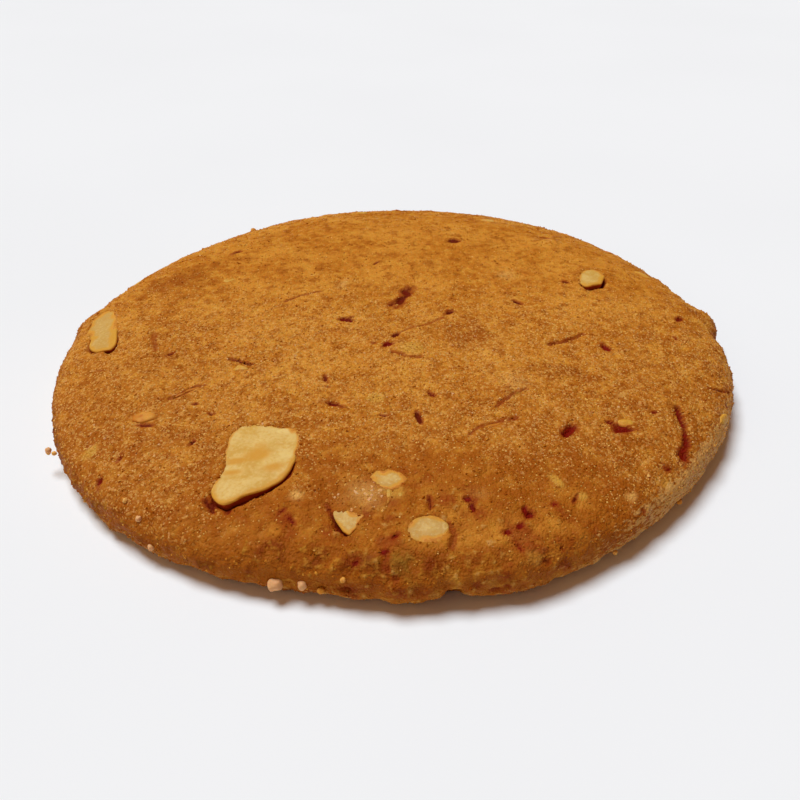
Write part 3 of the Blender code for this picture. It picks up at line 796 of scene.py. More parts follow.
def disc_grid(cells):
    """Square grid carried onto a disc: a square ring becomes a circle, and a point part way along
    its side turns in proportion. Gives each point's ring number and turn, the quads, and the rim's
    points anticlockwise."""
    steps = np.arange(-cells // 2, cells // 2 + 1)
    u, v = np.meshgrid(steps, steps, indexing="ij")
    wide = np.abs(u) >= np.abs(v)
    longer = np.where(wide, u, v)
    swing = math.pi / 4 * np.where(wide, v, -u) / np.where(longer == 0, 1, longer)
    start = np.where(wide, np.where(u < 0, math.pi, 0.0), np.where(v < 0, -math.pi / 2, math.pi / 2))
    index = np.arange((cells + 1) ** 2).reshape(cells + 1, cells + 1)
    quads = np.stack([index[:-1, :-1], index[1:, :-1], index[1:, 1:], index[:-1, 1:]], axis=-1)
    rim = np.concatenate([index[-1, :-1], index[:0:-1, -1], index[0, :0:-1], index[:-1, 0]])
    return np.abs(longer).ravel(), (start + swing).ravel(), quads.reshape(-1, 4), rim


def even_steps(across, up, count):
    """Points spaced evenly along the curve through dense points (across, up)."""
    run = np.concatenate(([0.0], np.cumsum(np.hypot(np.diff(across), np.diff(up)))))
    at = np.linspace(0.0, run[-1], count)
    return np.interp(at, run, across), np.interp(at, run, up)


def plain_cookie():
    """The cookie before its fine relief, as one closed mesh: the crust on a disc grid whose rings
    are even along the dome, the side in rings from the widest one down, and the flat base."""
    form = bpy.context.scene.cookie_form
    radius, widest = form.radius / MM, form.widest / MM
    dense = 1.0 - np.linspace(1.0, 0.0, 4001) ** 3  # closer steps towards the rim, where it is steep
    across, _ = even_steps(dense * radius, dome(dense), TOP_CELLS // 2 + 1)
    ring, turn, top_quads, rim = disc_grid(TOP_CELLS)
    reach = across[ring] / radius * edge_radius(turn)
    x, y = reach * np.cos(turn), reach * np.sin(turn)
    top = np.stack([x, y, crust_height(x, y)], axis=1)

    falling = np.linspace(widest, 0.0, 500)
    side_reach, side_height = even_steps(under_share(falling) * radius, falling, SIDE_ROWS + 1)
    base_reach = np.linspace(side_reach[-1], 0.0, BASE_RINGS + 1)[1:-1]
    reaches = np.concatenate([side_reach[1:], base_reach]) / radius
    heights = np.concatenate([side_height[1:], np.zeros(len(base_reach))])
    rim_turn = turn[rim]
    rings = np.stack(
        [
            reaches[:, None] * edge_radius(rim_turn) * np.cos(rim_turn),
            reaches[:, None] * edge_radius(rim_turn) * np.sin(rim_turn),
            np.repeat(heights[:, None], len(rim), axis=1),
        ],
        axis=-1,
    )
    points = np.concatenate([top, rings.reshape(-1, 3), [[0.0, 0.0, 0.0]]])
    columns = len(rim)
    beside = np.roll(np.arange(columns), -1)
    seam = np.stack([rim, len(top) + np.arange(columns), len(top) + beside, rim[beside]], axis=1)
    quads = np.concatenate([top_quads, seam, ring_faces(len(rings), columns, len(top))])
    last = len(points) - 1 - columns
    fan = np.stack([last + beside, last + np.arange(columns), np.full(columns, len(points) - 1)], axis=1)
    return points, quads, fan


def nut_size(nut):
    """How far a nut's corners reach from its middle along either of its own axes, in mm."""
    return np.abs(np.array(nut.corners)).max()


def towards_gap(nut, local):
    """1 in the direction of a nut's gap from its middle, falling to -1 on the far side."""
    return np.cos(np.arctan2(local[:, 1], local[:, 0]) - math.radians(nut.gap_turn))


def nut_seat(nut):
    """Place and axes of a nut: the crust's, tipped so that the nut's face rises towards its gap."""
    place, axes = seat(nut.x, nut.y, nut.level)
    turn, tip = math.radians(nut.gap_turn), math.radians(nut.tip)
    up = axes[2]
    forward = axes[0] * math.cos(turn) + axes[1] * math.sin(turn)
    up_change = up * (math.cos(tip) - 1.0) - forward * math.sin(tip)
    forward_change = forward * (math.cos(tip) - 1.0) + up * math.sin(tip)
    return place, axes + np.outer(axes @ forward, forward_change) + np.outer(axes @ up, up_change)


def nut_pockets(points):
    """Depth of the pocket each nut sits in, how far the dough climbs to the nut's face, how far its
    open gap shows, which the crust paints dark as shade, and where it covers the dough. The pocket runs
    under the whole nut. The gap is widest on the nut's gap side, and closes by a smooth step round the
    rest, where the dough laps over the nut's edge."""
    layers = np.zeros((4, len(points)))
    for nut in NUTS:
        place, axes = nut_seat(nut)
        near = np.linalg.norm(points - place, axis=1) < NUT_REACH
        local = (points[near] - place) @ axes.T
        away = outline_distance(local[:, 0], local[:, 1], np.array(nut.corners))
        away = away + 0.10 * noise(points[near], 0.9, 31) + 0.06 * noise(points[near], 0.4, 33)
        open_side = smooth(0.15, 0.75, towards_gap(nut, local)) * smooth(0.04, 0.3, nut.gap)
        gap = nut.gap * open_side * (1.0 + 0.35 * noise(points[near], 1.6, 32))
        groove = smooth(gap + 0.12, gap * 0.45 - 0.12, away) * smooth(0.04, 0.3, gap)
        lap = smooth(1.7, 0.0, away) * smooth(-0.45, -0.10, away) * (1.0 - open_side)
        climb = lap * np.clip(nut.proud - 0.04 - local[:, 2], 0.0, 0.6)
        under = smooth(-0.20, -0.55, away) * np.clip(local[:, 2] + 0.8, 0.0, 1.6)
        drop = np.maximum(GAP_DEPTH * groove, under)
        covered = (away < -0.25 * (1.0 - open_side)) & (local[:, 2] < 1.0)
        layers[:, near] = np.maximum(layers[:, near], [drop, climb, groove, covered])
    return layers


def torn_marks(points):
    """Depth, darkness and redness of the pits and cracks. The darkness is painted shade that stands in
    for the depth not cut. A pit's oval is warped by noise, its wall is steep, and its rim is raised a
    little."""
    drop, lift, dark, red = np.zeros((4, len(points)))
    for pit in PITS:
        near = np.linalg.norm(points[:, :2] - (pit.x, pit.y), axis=1) < PIT_REACH
        warp = 0.55 * noise(points[near], 0.85, 41) + 0.30 * noise(points[near], 0.45, 42)
        away = oval_distance(points[near], pit) * 1.05 + warp
        drop[near] = np.maximum(drop[near], TEAR_DEPTH * pit.depth * smooth(1.35, 0.2, away))
        lift[near] = np.maximum(lift[near], 0.05 * bell(away, 1.45, 0.35))
        shade = smooth(1.7 + 0.25 * pit.red, 0.35, away) * min(1.0, 0.60 + pit.depth * 0.5)
        red[near] = np.where(shade > dark[near], pit.red, red[near])
        dark[near] = np.maximum(dark[near], shade)
    warp = 0.50 * noise(points, 0.9, 43) + 0.35 * noise(points, 0.45, 44)
    for crack in CRACKS:
        away = route_distance(points, crack.route) / (crack.width / 2) + warp
        drop = np.maximum(drop, TEAR_DEPTH * crack.depth * smooth(1.5, 0.2, away))
        lift = np.maximum(lift, 0.04 * bell(away, 1.8, 0.5))
        shade = smooth(2.1, 0.4, away) * min(1.0, 0.30 + crack.depth * 0.6)
        red = np.where(shade > dark, crack.red, red)
        dark = np.maximum(dark, shade)
    return drop - lift, dark, red


def side_marks(points, turn):
    """Small tears round the side, and the nick at the foot of its front, each darkened by painted shade."""
    random = np.random.default_rng(51)
    drop, dark = np.zeros((2, len(points)))
    for angle in np.radians(random.uniform(0.0, 360.0, SIDE_TEARS)):
        height = random.uniform(*TEAR_HEIGHTS)
        share = under_share(height) if height < dome(1.0) else SHOULDER_SHARE
        radius = share * edge_radius(np.array(angle))
        middle = np.array([radius * math.cos(angle), radius * math.sin(angle), height])
        size = random.uniform(*TEAR_SIZES)
        away = np.linalg.norm((points - middle) * (1.0, 1.0, random.uniform(1.0, 2.2)), axis=1) / size
        away = away + 0.3 * noise(points, 0.6, 52)
        drop = np.maximum(drop, 0.45 * size * smooth(1.1, 0.3, away))
        dark = np.maximum(dark, 0.6 * smooth(1.1, 0.5, away))
    nick = bell(np.degrees(turn), *NICK_SECTOR) * smooth(*NICK_SPAN, points[:, 2])
    return drop + NICK_DEPTH * nick, np.maximum(dark, 0.8 * smooth(0.3, 0.8, nick))


def patch_layer(points, kind):
    """Strength of one kind of stain: bell curves over its ovals, broken up by noise, with flatter
    tops and steeper sides where it is a piece of something lying flush."""
    total = np.zeros(len(points))
    broken = 1.0 - 0.3 * layered(points, 1.8, 61)
    power = 4 if kind == "yellow" else 2
    for patch in PATCHES[kind]:
        away = oval_distance(points, patch) * broken
        total = np.maximum(total, patch.strength * bell(away, 0.0, 1.0, power))
    return np.clip(total, 0.0, 1.0)


def crumbly_relief(points, side, moist):
    """Height in mm of the crust's lumps: fine ones everywhere, ridges and crumbs on the side, lumps
    below the shoulder, and softer ones on the side and where the dough is moist."""
    rough = 0.05 * layered(points, 1.5, 22) + 0.045 * layered(points, 0.7, 25, 2)
    ridges = noise(points * RIDGE_SQUEEZE, 1.0, 21)
    crumbly = 0.07 * ridges + 0.09 * layered(points, 1.1, 27) + 0.10 * noise(points, 3.0, 30)
    lumps = 0.09 * noise(points, 1.5, 28) * smooth(*LUMPY_SPAN, points[:, 2])
    soft_lumps = 0.12 * layered(points, 1.0, 36, 2) * np.maximum(moist, 0.75 * side)
    return rough + crumbly * side + (lumps + soft_lumps)


def side_shade_and_dust(degrees, height):
    """How dark the side is, as its baked colour with painted shade, and how much dust its rim carries:
    painted shade makes the front wall darkest along a band under the shoulder and the left darker, the
    right is lighter and dustiest, and the foot carries some dust all round and is lighter by painted light."""
    right, left = bell(degrees, *RIGHT_SECTOR), bell(degrees, *LEFT_SECTOR)
    # Painted light lightens the foot; painted shade darkens the band under the front's shoulder and the
    # left.
    foot = smooth(*LIT_FOOT_SPAN, height)
    band = smooth(*SHADE_BAND_TOP, height) * (1.0 - 0.6 * smooth(*SHADE_BAND_FOOT, height))
    shade_all_round = (0.7 - 0.35 * right + 0.2 * left - 0.3 * foot) * smooth(*WALL_SPAN, height)
    dust = 1.4 * right + 0.25 * left
    dust = dust + 0.35 * smooth(*DUSTY_RIGHT_BACK, degrees) + 0.4 * smooth(*DUSTY_LEFT_BACK, degrees)
    dusty = 0.85 * np.clip(smooth(*DUST_SPAN, height) * dust + 0.5 * foot, 0.0, 1.0)
    return np.maximum(bell(degrees, *FRONT_SHADE_SECTOR) * band, shade_all_round), dusty


def painted_top_shade(x, y, points):
    """Painted shade on the top, laid with its brown stains: darker towards the front, and along the right
    and left flanks.
    """
    front = 0.46 * smooth(*FRONT_SHADE_SPAN, y) * (1.0 + 0.5 * noise(points, 5.0, 62))
    return front + 0.22 * smooth(*FLANK_SHADE_REACH, np.hypot(x, y)) * smooth(*FLANK_SHADE_BACK, y)


class COOKIE_OT_crust(bpy.types.Operator):
    """Bake the dough: its crumbly crust with pits, cracks and pockets for the nuts"""

    bl_idname = "cookie.crust"
    bl_label = "Dough crust"

    def execute(self, context):
        points, quads, fan = plain_cookie()
        normals = vertex_normals(points, quads)
        normals[-1] = (0.0, 0.0, -1.0)
        turn = np.arctan2(points[:, 1], points[:, 0])
        height = points[:, 2]
        side = smooth(*SIDE_SPAN, height)
        below = smooth(*BASE_SPAN, height) * smooth(-0.5, -0.9, normals[:, 2])
        moist = smooth(*MOIST_FRONT, points[:, 1] + 3.0 * noise(points, 6.0, 63))
        moist = moist * bell(points[:, 0], *MOIST_ACROSS, 4)

        relief = crumbly_relief(points, side, moist)
        pocket, climb, gap_shown, covered = nut_pockets(points)
        torn, dark, red = torn_marks(points)
        side_drop, side_dark = side_marks(points, turn)
        relief = (relief + climb - np.maximum(pocket, torn) - side_drop) * (1.0 - below)
        points = points + normals * relief[:, None]
        points[:, 2] = np.maximum(points[:, 2], np.where(below > 0, 0.0, FLOOR_GAP))
        x, y = points[:, 0], points[:, 1]

        degrees = np.degrees(turn)
        wall, dusty = side_shade_and_dust(degrees, height)
        front_side = side * (0.35 + 0.65 * bell(degrees, *CALM_SECTOR, 4))
        # Painted shade in the pits, cracks, open gaps by the nuts and tears of the side.
        hollow_shade = np.maximum.reduce([dark, gap_shown, side_dark])
        scraps = NUT_SCRAPS + CARROT_SCRAPS
        under = np.minimum.reduce([oval_distance(points, scrap) for scrap in scraps]) < 1.2
        attributes = {kind: patch_layer(points, kind) for kind in CRUST_STAINS}
        # Brown stains, with painted shade towards the front and on the flanks.
        browned = np.maximum(attributes["browned"], painted_top_shade(x, y, points))
        attributes.update({
            "hollow": np.clip(hollow_shade, 0.0, 1.0),
            "wet": np.clip(np.where(gap_shown > dark, GAP_REDNESS, red) * hollow_shade, 0.0, 1.0),
            # The side's colour, with painted shade and painted light.
            "side": wall,
            "calm": np.maximum.reduce([0.7 * moist, front_side, 0.82 * smooth(*CALM_BACK, y)]),
            "moist": moist,
            # Dust, with painted light at the foot.
            "dusty": dusty * (1.0 - below),
            "covered": np.maximum(covered, under),
            "browned": np.maximum(browned, 0.8 * below),
        })
        make_piece(CRUST, points, [quads, fan], baked_crust(), attributes, "dough")
        return {"FINISHED"}


# ---------------------------------------------------------------------------------------------
# Nuts, scraps and shreds
# ---------------------------------------------------------------------------------------------


def star_radius(corners, turn, passes):
    """Distance from the middle to a cut outline along each direction: where the ray crosses an
    edge, with the corners rounded by averaging neighbouring directions a number of times."""
    across, up = np.cos(turn), np.sin(turn)
    radius = np.zeros_like(turn)
    for (x0, y0), (x1, y1) in zip(corners, np.roll(corners, -1, axis=0)):
        run_x, run_y = x1 - x0, y1 - y0
        facing = across * run_y - up * run_x
        facing = np.where(np.abs(facing) < 1e-9, 1e-9, facing)
        share = (x0 * up - y0 * across) / facing
        reach = (x0 * run_y - y0 * run_x) / facing
        radius = np.where((share > -1e-6) & (share < 1 + 1e-6) & (reach > radius), reach, radius)
    for _ in range(passes):
        radius = 0.25 * np.roll(radius, 1) + 0.5 * radius + 0.25 * np.roll(radius, -1)
    return radius


def nut_rings(nut, columns=168):
    """Rings of a nut in its own frame, top to bottom: the cut face, a rounded edge, the side and the
    underside. Each is the outline, drawn in by an inset and shrunk by a share."""
    face, rounded, flank, under = 13, 6, 6, 4
    edge = 0.08 + 0.035 * np.hypot(*np.array(nut.corners).T).mean()
    turn = full_turn(columns)
    outline = star_radius(nut.corners, turn, 4 + round(14 * nut.dull))
    quarter = np.radians(np.linspace(0.0, 90.0, rounded))
    shrink = np.concatenate([
        np.linspace(0.06, 0.94, face), np.ones(rounded + flank), np.linspace(0.8, 0.2, under),
    ])
    inset = np.concatenate([
        np.full(face, edge),
        edge * (1.0 - np.sin(quarter)),
        np.linspace(0.02, 0.25, flank),
        np.full(under, 0.4),
    ])
    depth = np.concatenate([
        np.zeros(face),
        edge * (1.0 - np.cos(quarter)),
        np.linspace(edge + 0.1, nut.thickness - 0.1, flank),
        np.full(under, nut.thickness),
    ])
    reach = (outline - inset[:, None]) * shrink[:, None]
    rings = np.stack(
        [reach * np.cos(turn), reach * np.sin(turn), np.broadcast_to(-depth[:, None], reach.shape)], axis=-1
    )
    return rings, np.array([0.0, 0.0, 0.0]), np.array([0.0, 0.0, -nut.thickness])


def nut_relief(local, nut):
    """Shape of the broken kernel: its face is slightly domed and has fibres along its length. The
    largest kernel also steps down to a lower shelf in front."""
    x, y, z = local.T
    upper = smooth(-1.0, -0.3, z)
    size = nut_size(nut)
    domed = -0.08 * np.clip(np.hypot(x, y) / size, 0.0, 1.2) ** 2
    wavy = 0.05 * noise(local, 2.4, 71) + 0.025 * noise(local, 0.9, 72)
    fibres = 0.012 * noise(local * (0.5, 1.6, 1.0), 0.45, 73)
    shelf = np.zeros(len(local))
    if nut.thickness >= SHELF_FROM:
        front = -(y + 0.25 * x + 0.55) + 0.25 * noise(local, 1.0, 74)
        shelf = -0.08 * smooth(-0.5, 0.8, front)
    local = local.copy()
    local[:, 2] += (domed + wavy + fibres + shelf) * upper
    sideways = 0.06 * noise(local, 1.3, 75) + 0.03 * noise(local, 0.6, 76)
    local[:, :2] *= 1.0 + sideways[:, None] * smooth(0.3, 1.0, np.hypot(x, y) / size)[:, None]
    return local


def nut_looks(nut, points, local, depth):
    """Values painted on a kernel: a film of dough round its edge, wider on a dull one, amber on its
    cut sides and along its open edge, and painted shade, in the colour of clinging dough, on its sides
    where they sink into the dough."""
    sealed = 1.0 - smooth(0.1, 0.5, towards_gap(nut, local)) * smooth(0.1, 0.3, nut.gap)
    size = nut_size(nut)
    film = min(0.35 + 0.9 * nut.dull, 0.28 * size)
    inward = outline_distance(local[:, 0], local[:, 1], np.array(nut.corners))
    edge = inward + (0.28 + 0.40 * nut.dull) * noise(points, 0.9, 82)
    rim = min(1.0, 0.4 + 1.2 * nut.dull) * smooth(-1.3 * film, -0.1, edge)
    open_rim = (1.0 - sealed) * smooth(-0.13 * size, -0.02 * size, edge)
    cut_side = smooth(0.0, -0.3, depth)
    return {
        "amber": np.maximum.reduce([open_rim, rim, patch_layer(points, "amber"), cut_side]),
        "cream": patch_layer(points, "cream"),
        "dull": np.full(len(points), nut.dull),
        "filmed": sealed * smooth(-film, -0.05, edge),
        # Painted shade on the sides below the face.
        "sunk": smooth(-0.15, -0.29, depth),
    }


class COOKIE_OT_nuts(bpy.types.Operator):
    """Set the chopped nuts in the crust, each in its pocket"""

    bl_idname = "cookie.nuts"
    bl_label = "Chopped nuts"

    def execute(self, context):
        material = nut_flesh()
        for nut in NUTS:
            local, quads, triangles = closed_rings(*nut_rings(nut))
            depth = local[:, 2].copy()
            local = nut_relief(local, nut)
            place, axes = nut_seat(nut)
            points = place + axes[2] * nut.proud + local @ axes
            attributes = nut_looks(nut, points, local, depth)
            name = nut.node + "_kernel"
            make_piece(name, points, [quads, triangles], material, attributes, nut.node)
        return {"FINISHED"}


def chip(seed, columns=30, rows=15, cut=0.62):
    """Closed chip about 1 across: a ball cut by random planes no nearer its middle than a share of
    its radius, one of them level on top. Along each direction the surface is the nearest of them."""
    random = np.random.default_rng(seed)
    turn = full_turn(columns)
    tilt = np.linspace(0.0, math.pi, rows + 2)[:, None]
    directions = np.stack(
        [np.sin(tilt) * np.cos(turn), np.sin(tilt) * np.sin(turn), np.cos(tilt) + 0.0 * turn], axis=-1
    )
    facing = random.normal(size=(9, 3)) * (1.0, 1.0, 0.5)
    facing = np.concatenate([unit(facing), [[0.0, 0.0, 1.0]]])
    away = np.append(random.uniform(cut, 0.92, 9), max(cut, 0.72))
    reach = away / np.maximum(directions @ facing.T, 0.2)
    ball = 0.5 * np.minimum(reach.min(axis=-1), 1.0)
    rings = directions * ball[..., None]
    return closed_rings(rings[1:-1], rings[0, 0], rings[-1, 0])


def placed_scraps(scraps, seed):
    """Chips stretched to each scrap's size and pressed into the crust."""
    parts = []
    for number, scrap in enumerate(scraps):
        points, quads, triangles = chip(seed + number)
        place, axes = seat(scrap.x, scrap.y)
        points = points * (scrap.length * 1.1, scrap.width * 1.1, scrap.thickness * 1.35)
        uneven = 0.10 * noise(points, 0.8, seed + number) + 0.05 * noise(points, 0.4, seed + number)
        from_middle = np.linalg.norm(points, axis=1, keepdims=True)
        points = points * (1.0 + uneven[:, None] / (0.3 + from_middle))
        sink = scrap.proud - points[:, 2].max()
        points = place + axes[2] * sink + points @ turned(axes, scrap.turn)
        parts.append((points, quads, triangles))
    return joined(parts)


class COOKIE_OT_scraps(bpy.types.Operator):
    """Press small scraps of nut and carrot into the crust"""

    bl_idname = "cookie.scraps"
    bl_label = "Scraps of nut and carrot"

    def execute(self, context):
        for name, scraps, seed, material, slot in (
            ("nut_scraps", NUT_SCRAPS, 100, nut_flesh(), NUT_SLOT),
            ("carrot_scraps", CARROT_SCRAPS, 200, candied_carrot(), DOUGH_SLOT),
        ):
            points, quads, triangles = placed_scraps(scraps, seed)
            proud = height_proud(points)
            attributes = {
                "amber": np.clip(0.45 + 0.4 * layered(points, 1.2, 91), 0.0, 1.0),
                "dull": np.full(len(points), 0.4),
                "filmed": smooth(0.13, 0.0, proud + 0.07 * noise(points, 0.6, 92)),
                "green": np.zeros(len(points)),
                "cream": np.zeros(len(points)),
                "sunk": np.zeros(len(points)),
                "ripe": smooth(0.07, 0.34, proud + 0.10 * noise(points, 0.5, 93)),
            }
            make_piece(name, points, [quads, triangles], material, attributes)
        return {"FINISHED"}


def shred_mesh(shred, seed, rings=18, columns=10):
    """Flat strand along its route: an oval cross-section that narrows to both ends and wavers."""
    stops = np.array(shred.route)
    run = np.concatenate(([0.0], np.cumsum(np.linalg.norm(np.diff(stops, axis=0), axis=1))))
    share = np.linspace(0.0, 1.0, rings)
    x, y = (np.interp(share * run[-1], run, stops[:, k]) for k in range(2))
    flat = np.stack([x, y, np.zeros(rings)], axis=1)
    x = x + 0.12 * noise(flat, 1.3, seed)
    y = y + 0.12 * noise(flat, 1.3, seed + 1)
    spine = np.stack([x, y, crust_height(x, y) - 0.42 * shred.width], axis=1)
    along = unit(np.gradient(spine, axis=0))
    _, axes = seat(*stops[len(stops) // 2])
    across = unit(np.cross(axes[2], along))
    up = np.cross(along, across)
    taper = 0.25 + 0.75 * np.sin(math.pi * share) ** 0.6
    half_width = shred.width / 2 * taper * (1 + 0.25 * noise(flat, 0.8, seed + 2))
    turn = full_turn(columns)[None, :, None]
    circle = np.cos(turn) * across[:, None] + 0.6 * np.sin(turn) * up[:, None]
    rings_at = spine[:, None] + half_width[:, None, None] * circle
    points, quads, triangles = closed_rings(rings_at, spine[0], spine[-1])
    return points, quads[:, ::-1], triangles[:, ::-1]


class COOKIE_OT_shreds(bpy.types.Operator):
    """Lay the shreds of carrot and peel half sunk in the crust"""

    bl_idname = "cookie.shreds"
    bl_label = "Carrot shreds"

    def execute(self, context):
        parts = [shred_mesh(shred, 300 + 3 * k) for k, shred in enumerate(SHREDS)]
        green = [np.full(len(points), 1.0 - s.ripe) for (points, _, _), s in zip(parts, SHREDS)]
        points, quads, triangles = joined(parts)
        proud = height_proud(points)
        attributes = {
            "green": np.concatenate(green),
            "ripe": np.zeros(len(points)),
            "filmed": smooth(0.07, -0.05, proud),
        }
        make_piece("carrot_shreds", points, [quads, triangles], candied_carrot(), attributes)
        return {"FINISHED"}


# ---------------------------------------------------------------------------------------------
# Grains, sugar and crumbs
# ---------------------------------------------------------------------------------------------


def values_of(items, label, width=1, kind=np.float32):
    """One value, or a row of them, of each of a mesh's vertices, faces or corners."""
    values = np.empty(len(items) * width, kind)
    items.foreach_get(label, values)
    return values.reshape(-1, width) if width > 1 else values


def crust_spots(count, seed, weight):
    """Random spots on the finished crust, in mm: its vertices, drawn in proportion to the area
    around them times a weight, and moved up to half a cell within the surface. Gives the places, the
    normals, the values painted on the crust there, and the random generator."""
    mesh = bpy.data.objects[CRUST].data
    places = values_of(mesh.vertices, "co", 3) / MM + outline_middle()
    facing = values_of(mesh.vertex_normals, "vector", 3).astype(float)
    faces = values_of(mesh.polygons, "area")
    sides = values_of(mesh.polygons, "loop_total", kind=np.int32)
    corners = values_of(mesh.loops, "vertex_index", kind=np.int32)
    area = np.bincount(corners, np.repeat(faces / sides, sides), len(places))
    layers = {label: values_of(mesh.attributes[label].data, "value") for label in PAINTED}
    chance = area * weight(places, layers) * (layers["covered"] < 0.5)
    random = np.random.default_rng(seed)
    chosen = random.choice(len(places), count, replace=False, p=chance / chance.sum())
    across = unit(np.cross(facing[chosen], (0.0, 0.6, 0.8)))
    along = np.cross(across, facing[chosen])
    shift = random.uniform(-HALF_CELL, HALF_CELL, (2, count, 1))
    here = {label: values[chosen] for label, values in layers.items()}
    return places[chosen] + shift[0] * across + shift[1] * along, facing[chosen], here, random


def grain_weight(places, layers):
    """Where grains stand: outside the pits, above the foot, and fewer where the crust is calm."""
    return (layers["hollow"] < OUT_OF_PITS) * (1.0 - 0.7 * layers["calm"]) * (places[:, 2] > 0.4)


def sugar_weight(places, layers):
    """Where crystals lie: outside the pits, on the top, and far fewer where the crust is calm."""
    top = smooth(4.0, 5.4, places[:, 2])
    return (layers["hollow"] < OUT_OF_PITS) * (1.0 - layers["calm"]) ** 2 * top


def heap_weight(places, layers):
    """Where crystals crowd: a bell curve round the heap's middle, on the top alone."""
    heap = bell(places[:, 0], *HEAP_ACROSS) * bell(places[:, 1], *HEAP_ALONG)
    return (places[:, 2] > 4.0) * heap


def side_crumb_weight(places, layers):
    """Where small crumbs cling: the side, between the foot and the shoulder."""
    height = places[:, 2]
    return layers["side"] * smooth(0.6, 1.4, height) * smooth(4.6, 2.6, height)


def random_turns(random, count):
    """Random rotation matrices, from random unit quaternions."""
    w, x, y, z = unit(random.normal(size=(4, count)).T).T
    return np.stack([
        np.stack([1 - 2 * (y * y + z * z), 2 * (x * y - z * w), 2 * (x * z + y * w)], axis=1),
        np.stack([2 * (x * y + z * w), 1 - 2 * (x * x + z * z), 2 * (y * z - x * w)], axis=1),
        np.stack([2 * (x * z - y * w), 2 * (y * z + x * w), 1 - 2 * (x * x + y * y)], axis=1),
    ], axis=1)


def repeated(shape, faces, places, sizes, random, uneven):
    """Copies of a small shape, each turned at random, stretched and dented, at its own place."""
    count = len(places)
    stretch = random.uniform(0.75, 1.25, (count, 1, 3))
    dents = random.uniform(1.0 - uneven, 1.0 + uneven, (count, len(shape), 1))
    local = shape * stretch * dents * (np.asarray(sizes)[:, None, None] / 2)
    points = np.einsum("nij,nkj->nki", random_turns(random, count), local) + places[:, None]
    starts = np.arange(count)[:, None, None] * len(shape)
    return points.reshape(-1, 3), (faces + starts).reshape(-1, faces.shape[1])


def ball_shape():
    """Twelve corners and twenty faces of an icosahedron of radius 1."""
    golden = (1 + math.sqrt(5)) / 2
    corners = [(0, a, b * golden) for a in (-1, 1) for b in (-1, 1)]
    points = unit(np.array([np.roll(c, k) for k in range(3) for c in corners]))
    near = np.linalg.norm(points[:, None] - points, axis=2) < 1.1
    sides = np.argwhere(near[:, :, None] & near[:, None, :] & near[None, :, :])
    faces = sides[(sides[:, 0] < sides[:, 1]) & (sides[:, 1] < sides[:, 2])]
    a, b, c = points[faces].transpose(1, 0, 2)
    outward = np.einsum("ij,ij->i", np.cross(b - a, c - a), a) > 0
    return points, np.where(outward[:, None], faces, faces[:, ::-1])


def grain_shape():
    """Six corners and eight faces of an octahedron of radius 1."""
    points = np.concatenate([np.eye(3), -np.eye(3)])
    faces = np.array([
        (0, 1, 2), (1, 3, 2), (3, 4, 2), (4, 0, 2), (1, 0, 5), (3, 1, 5), (4, 3, 5), (0, 4, 5),
    ])
    return points, faces


def box_shape():
    """Eight corners and six faces of a box with its corners 1 from the middle."""
    points = np.array([(x, y, z) for x in (-1, 1) for y in (-1, 1) for z in (-1, 1)]) / math.sqrt(3)
    faces = np.array([
        (0, 1, 3, 2), (4, 6, 7, 5), (0, 4, 5, 1), (2, 3, 7, 6), (0, 2, 6, 4), (1, 5, 7, 3),
    ])
    return points, faces


class COOKIE_OT_grains(bpy.types.Operator):
    """Stud the crust with half-sunk grains of baked dough and brown sugar"""

    bl_idname = "cookie.grains"
    bl_label = "Crust grains"

    def execute(self, context):
        form = context.scene.cookie_form
        spots, facing, here, random = crust_spots(form.grain_count, 401, grain_weight)
        sizes = form.grain / MM * random.uniform(0.6, 1.25, len(spots))
        spots = spots - facing * sizes[:, None] * random.uniform(0.10, 0.35, (len(spots), 1))
        shape, faces = grain_shape()
        points, faces = repeated(shape, faces, spots, sizes, random, 0.22)
        attributes = {label: np.repeat(values, len(shape)) for label, values in here.items()}
        shade = random.uniform(0.0, 1.0, len(spots)) * (1.0 - 0.33 * here["calm"])
        attributes["shade"] = np.repeat(shade, len(shape))
        make_piece("crust_grains", points, [faces], dough_grain(), attributes, crisp=True)
        return {"FINISHED"}


class COOKIE_OT_sugar(bpy.types.Operator):
    """Scatter sugar crystals over the crust, and crowd some together by the front nuts"""

    bl_idname = "cookie.sugar"
    bl_label = "Sugar crystals"

    def execute(self, context):
        form = context.scene.cookie_form
        spots, facing, _, random = crust_spots(form.sugar_count, 501, sugar_weight)
        heap, heap_facing, _, _ = crust_spots(HEAP_COUNT, 502, heap_weight)
        sizes = random.uniform(0.11, 0.24, len(spots))
        spots = spots - facing * sizes[:, None] * random.uniform(0.05, 0.25, (len(spots), 1))
        box, sides = box_shape()
        points, quads = repeated(box, sides, spots, sizes, random, 0.12)
        sizes = random.uniform(0.35, 0.80, len(heap))
        heap = heap - heap_facing * sizes[:, None] * random.uniform(0.32, 0.46, (len(heap), 1))
        ball, sides = ball_shape()
        lumps, triangles = repeated(ball, sides, heap, sizes, random, 0.15)
        heaped = np.repeat(random.uniform(0.2, 1.0, len(heap)), len(ball))
        attributes = {"heaped": np.concatenate([np.zeros(len(points)), heaped])}
        faces = [quads, triangles + len(points)]
        points = np.concatenate([points, lumps])
        make_piece("sugar_crystals", points, faces, sugar_crystal(), attributes, crisp=True)
        return {"FINISHED"}


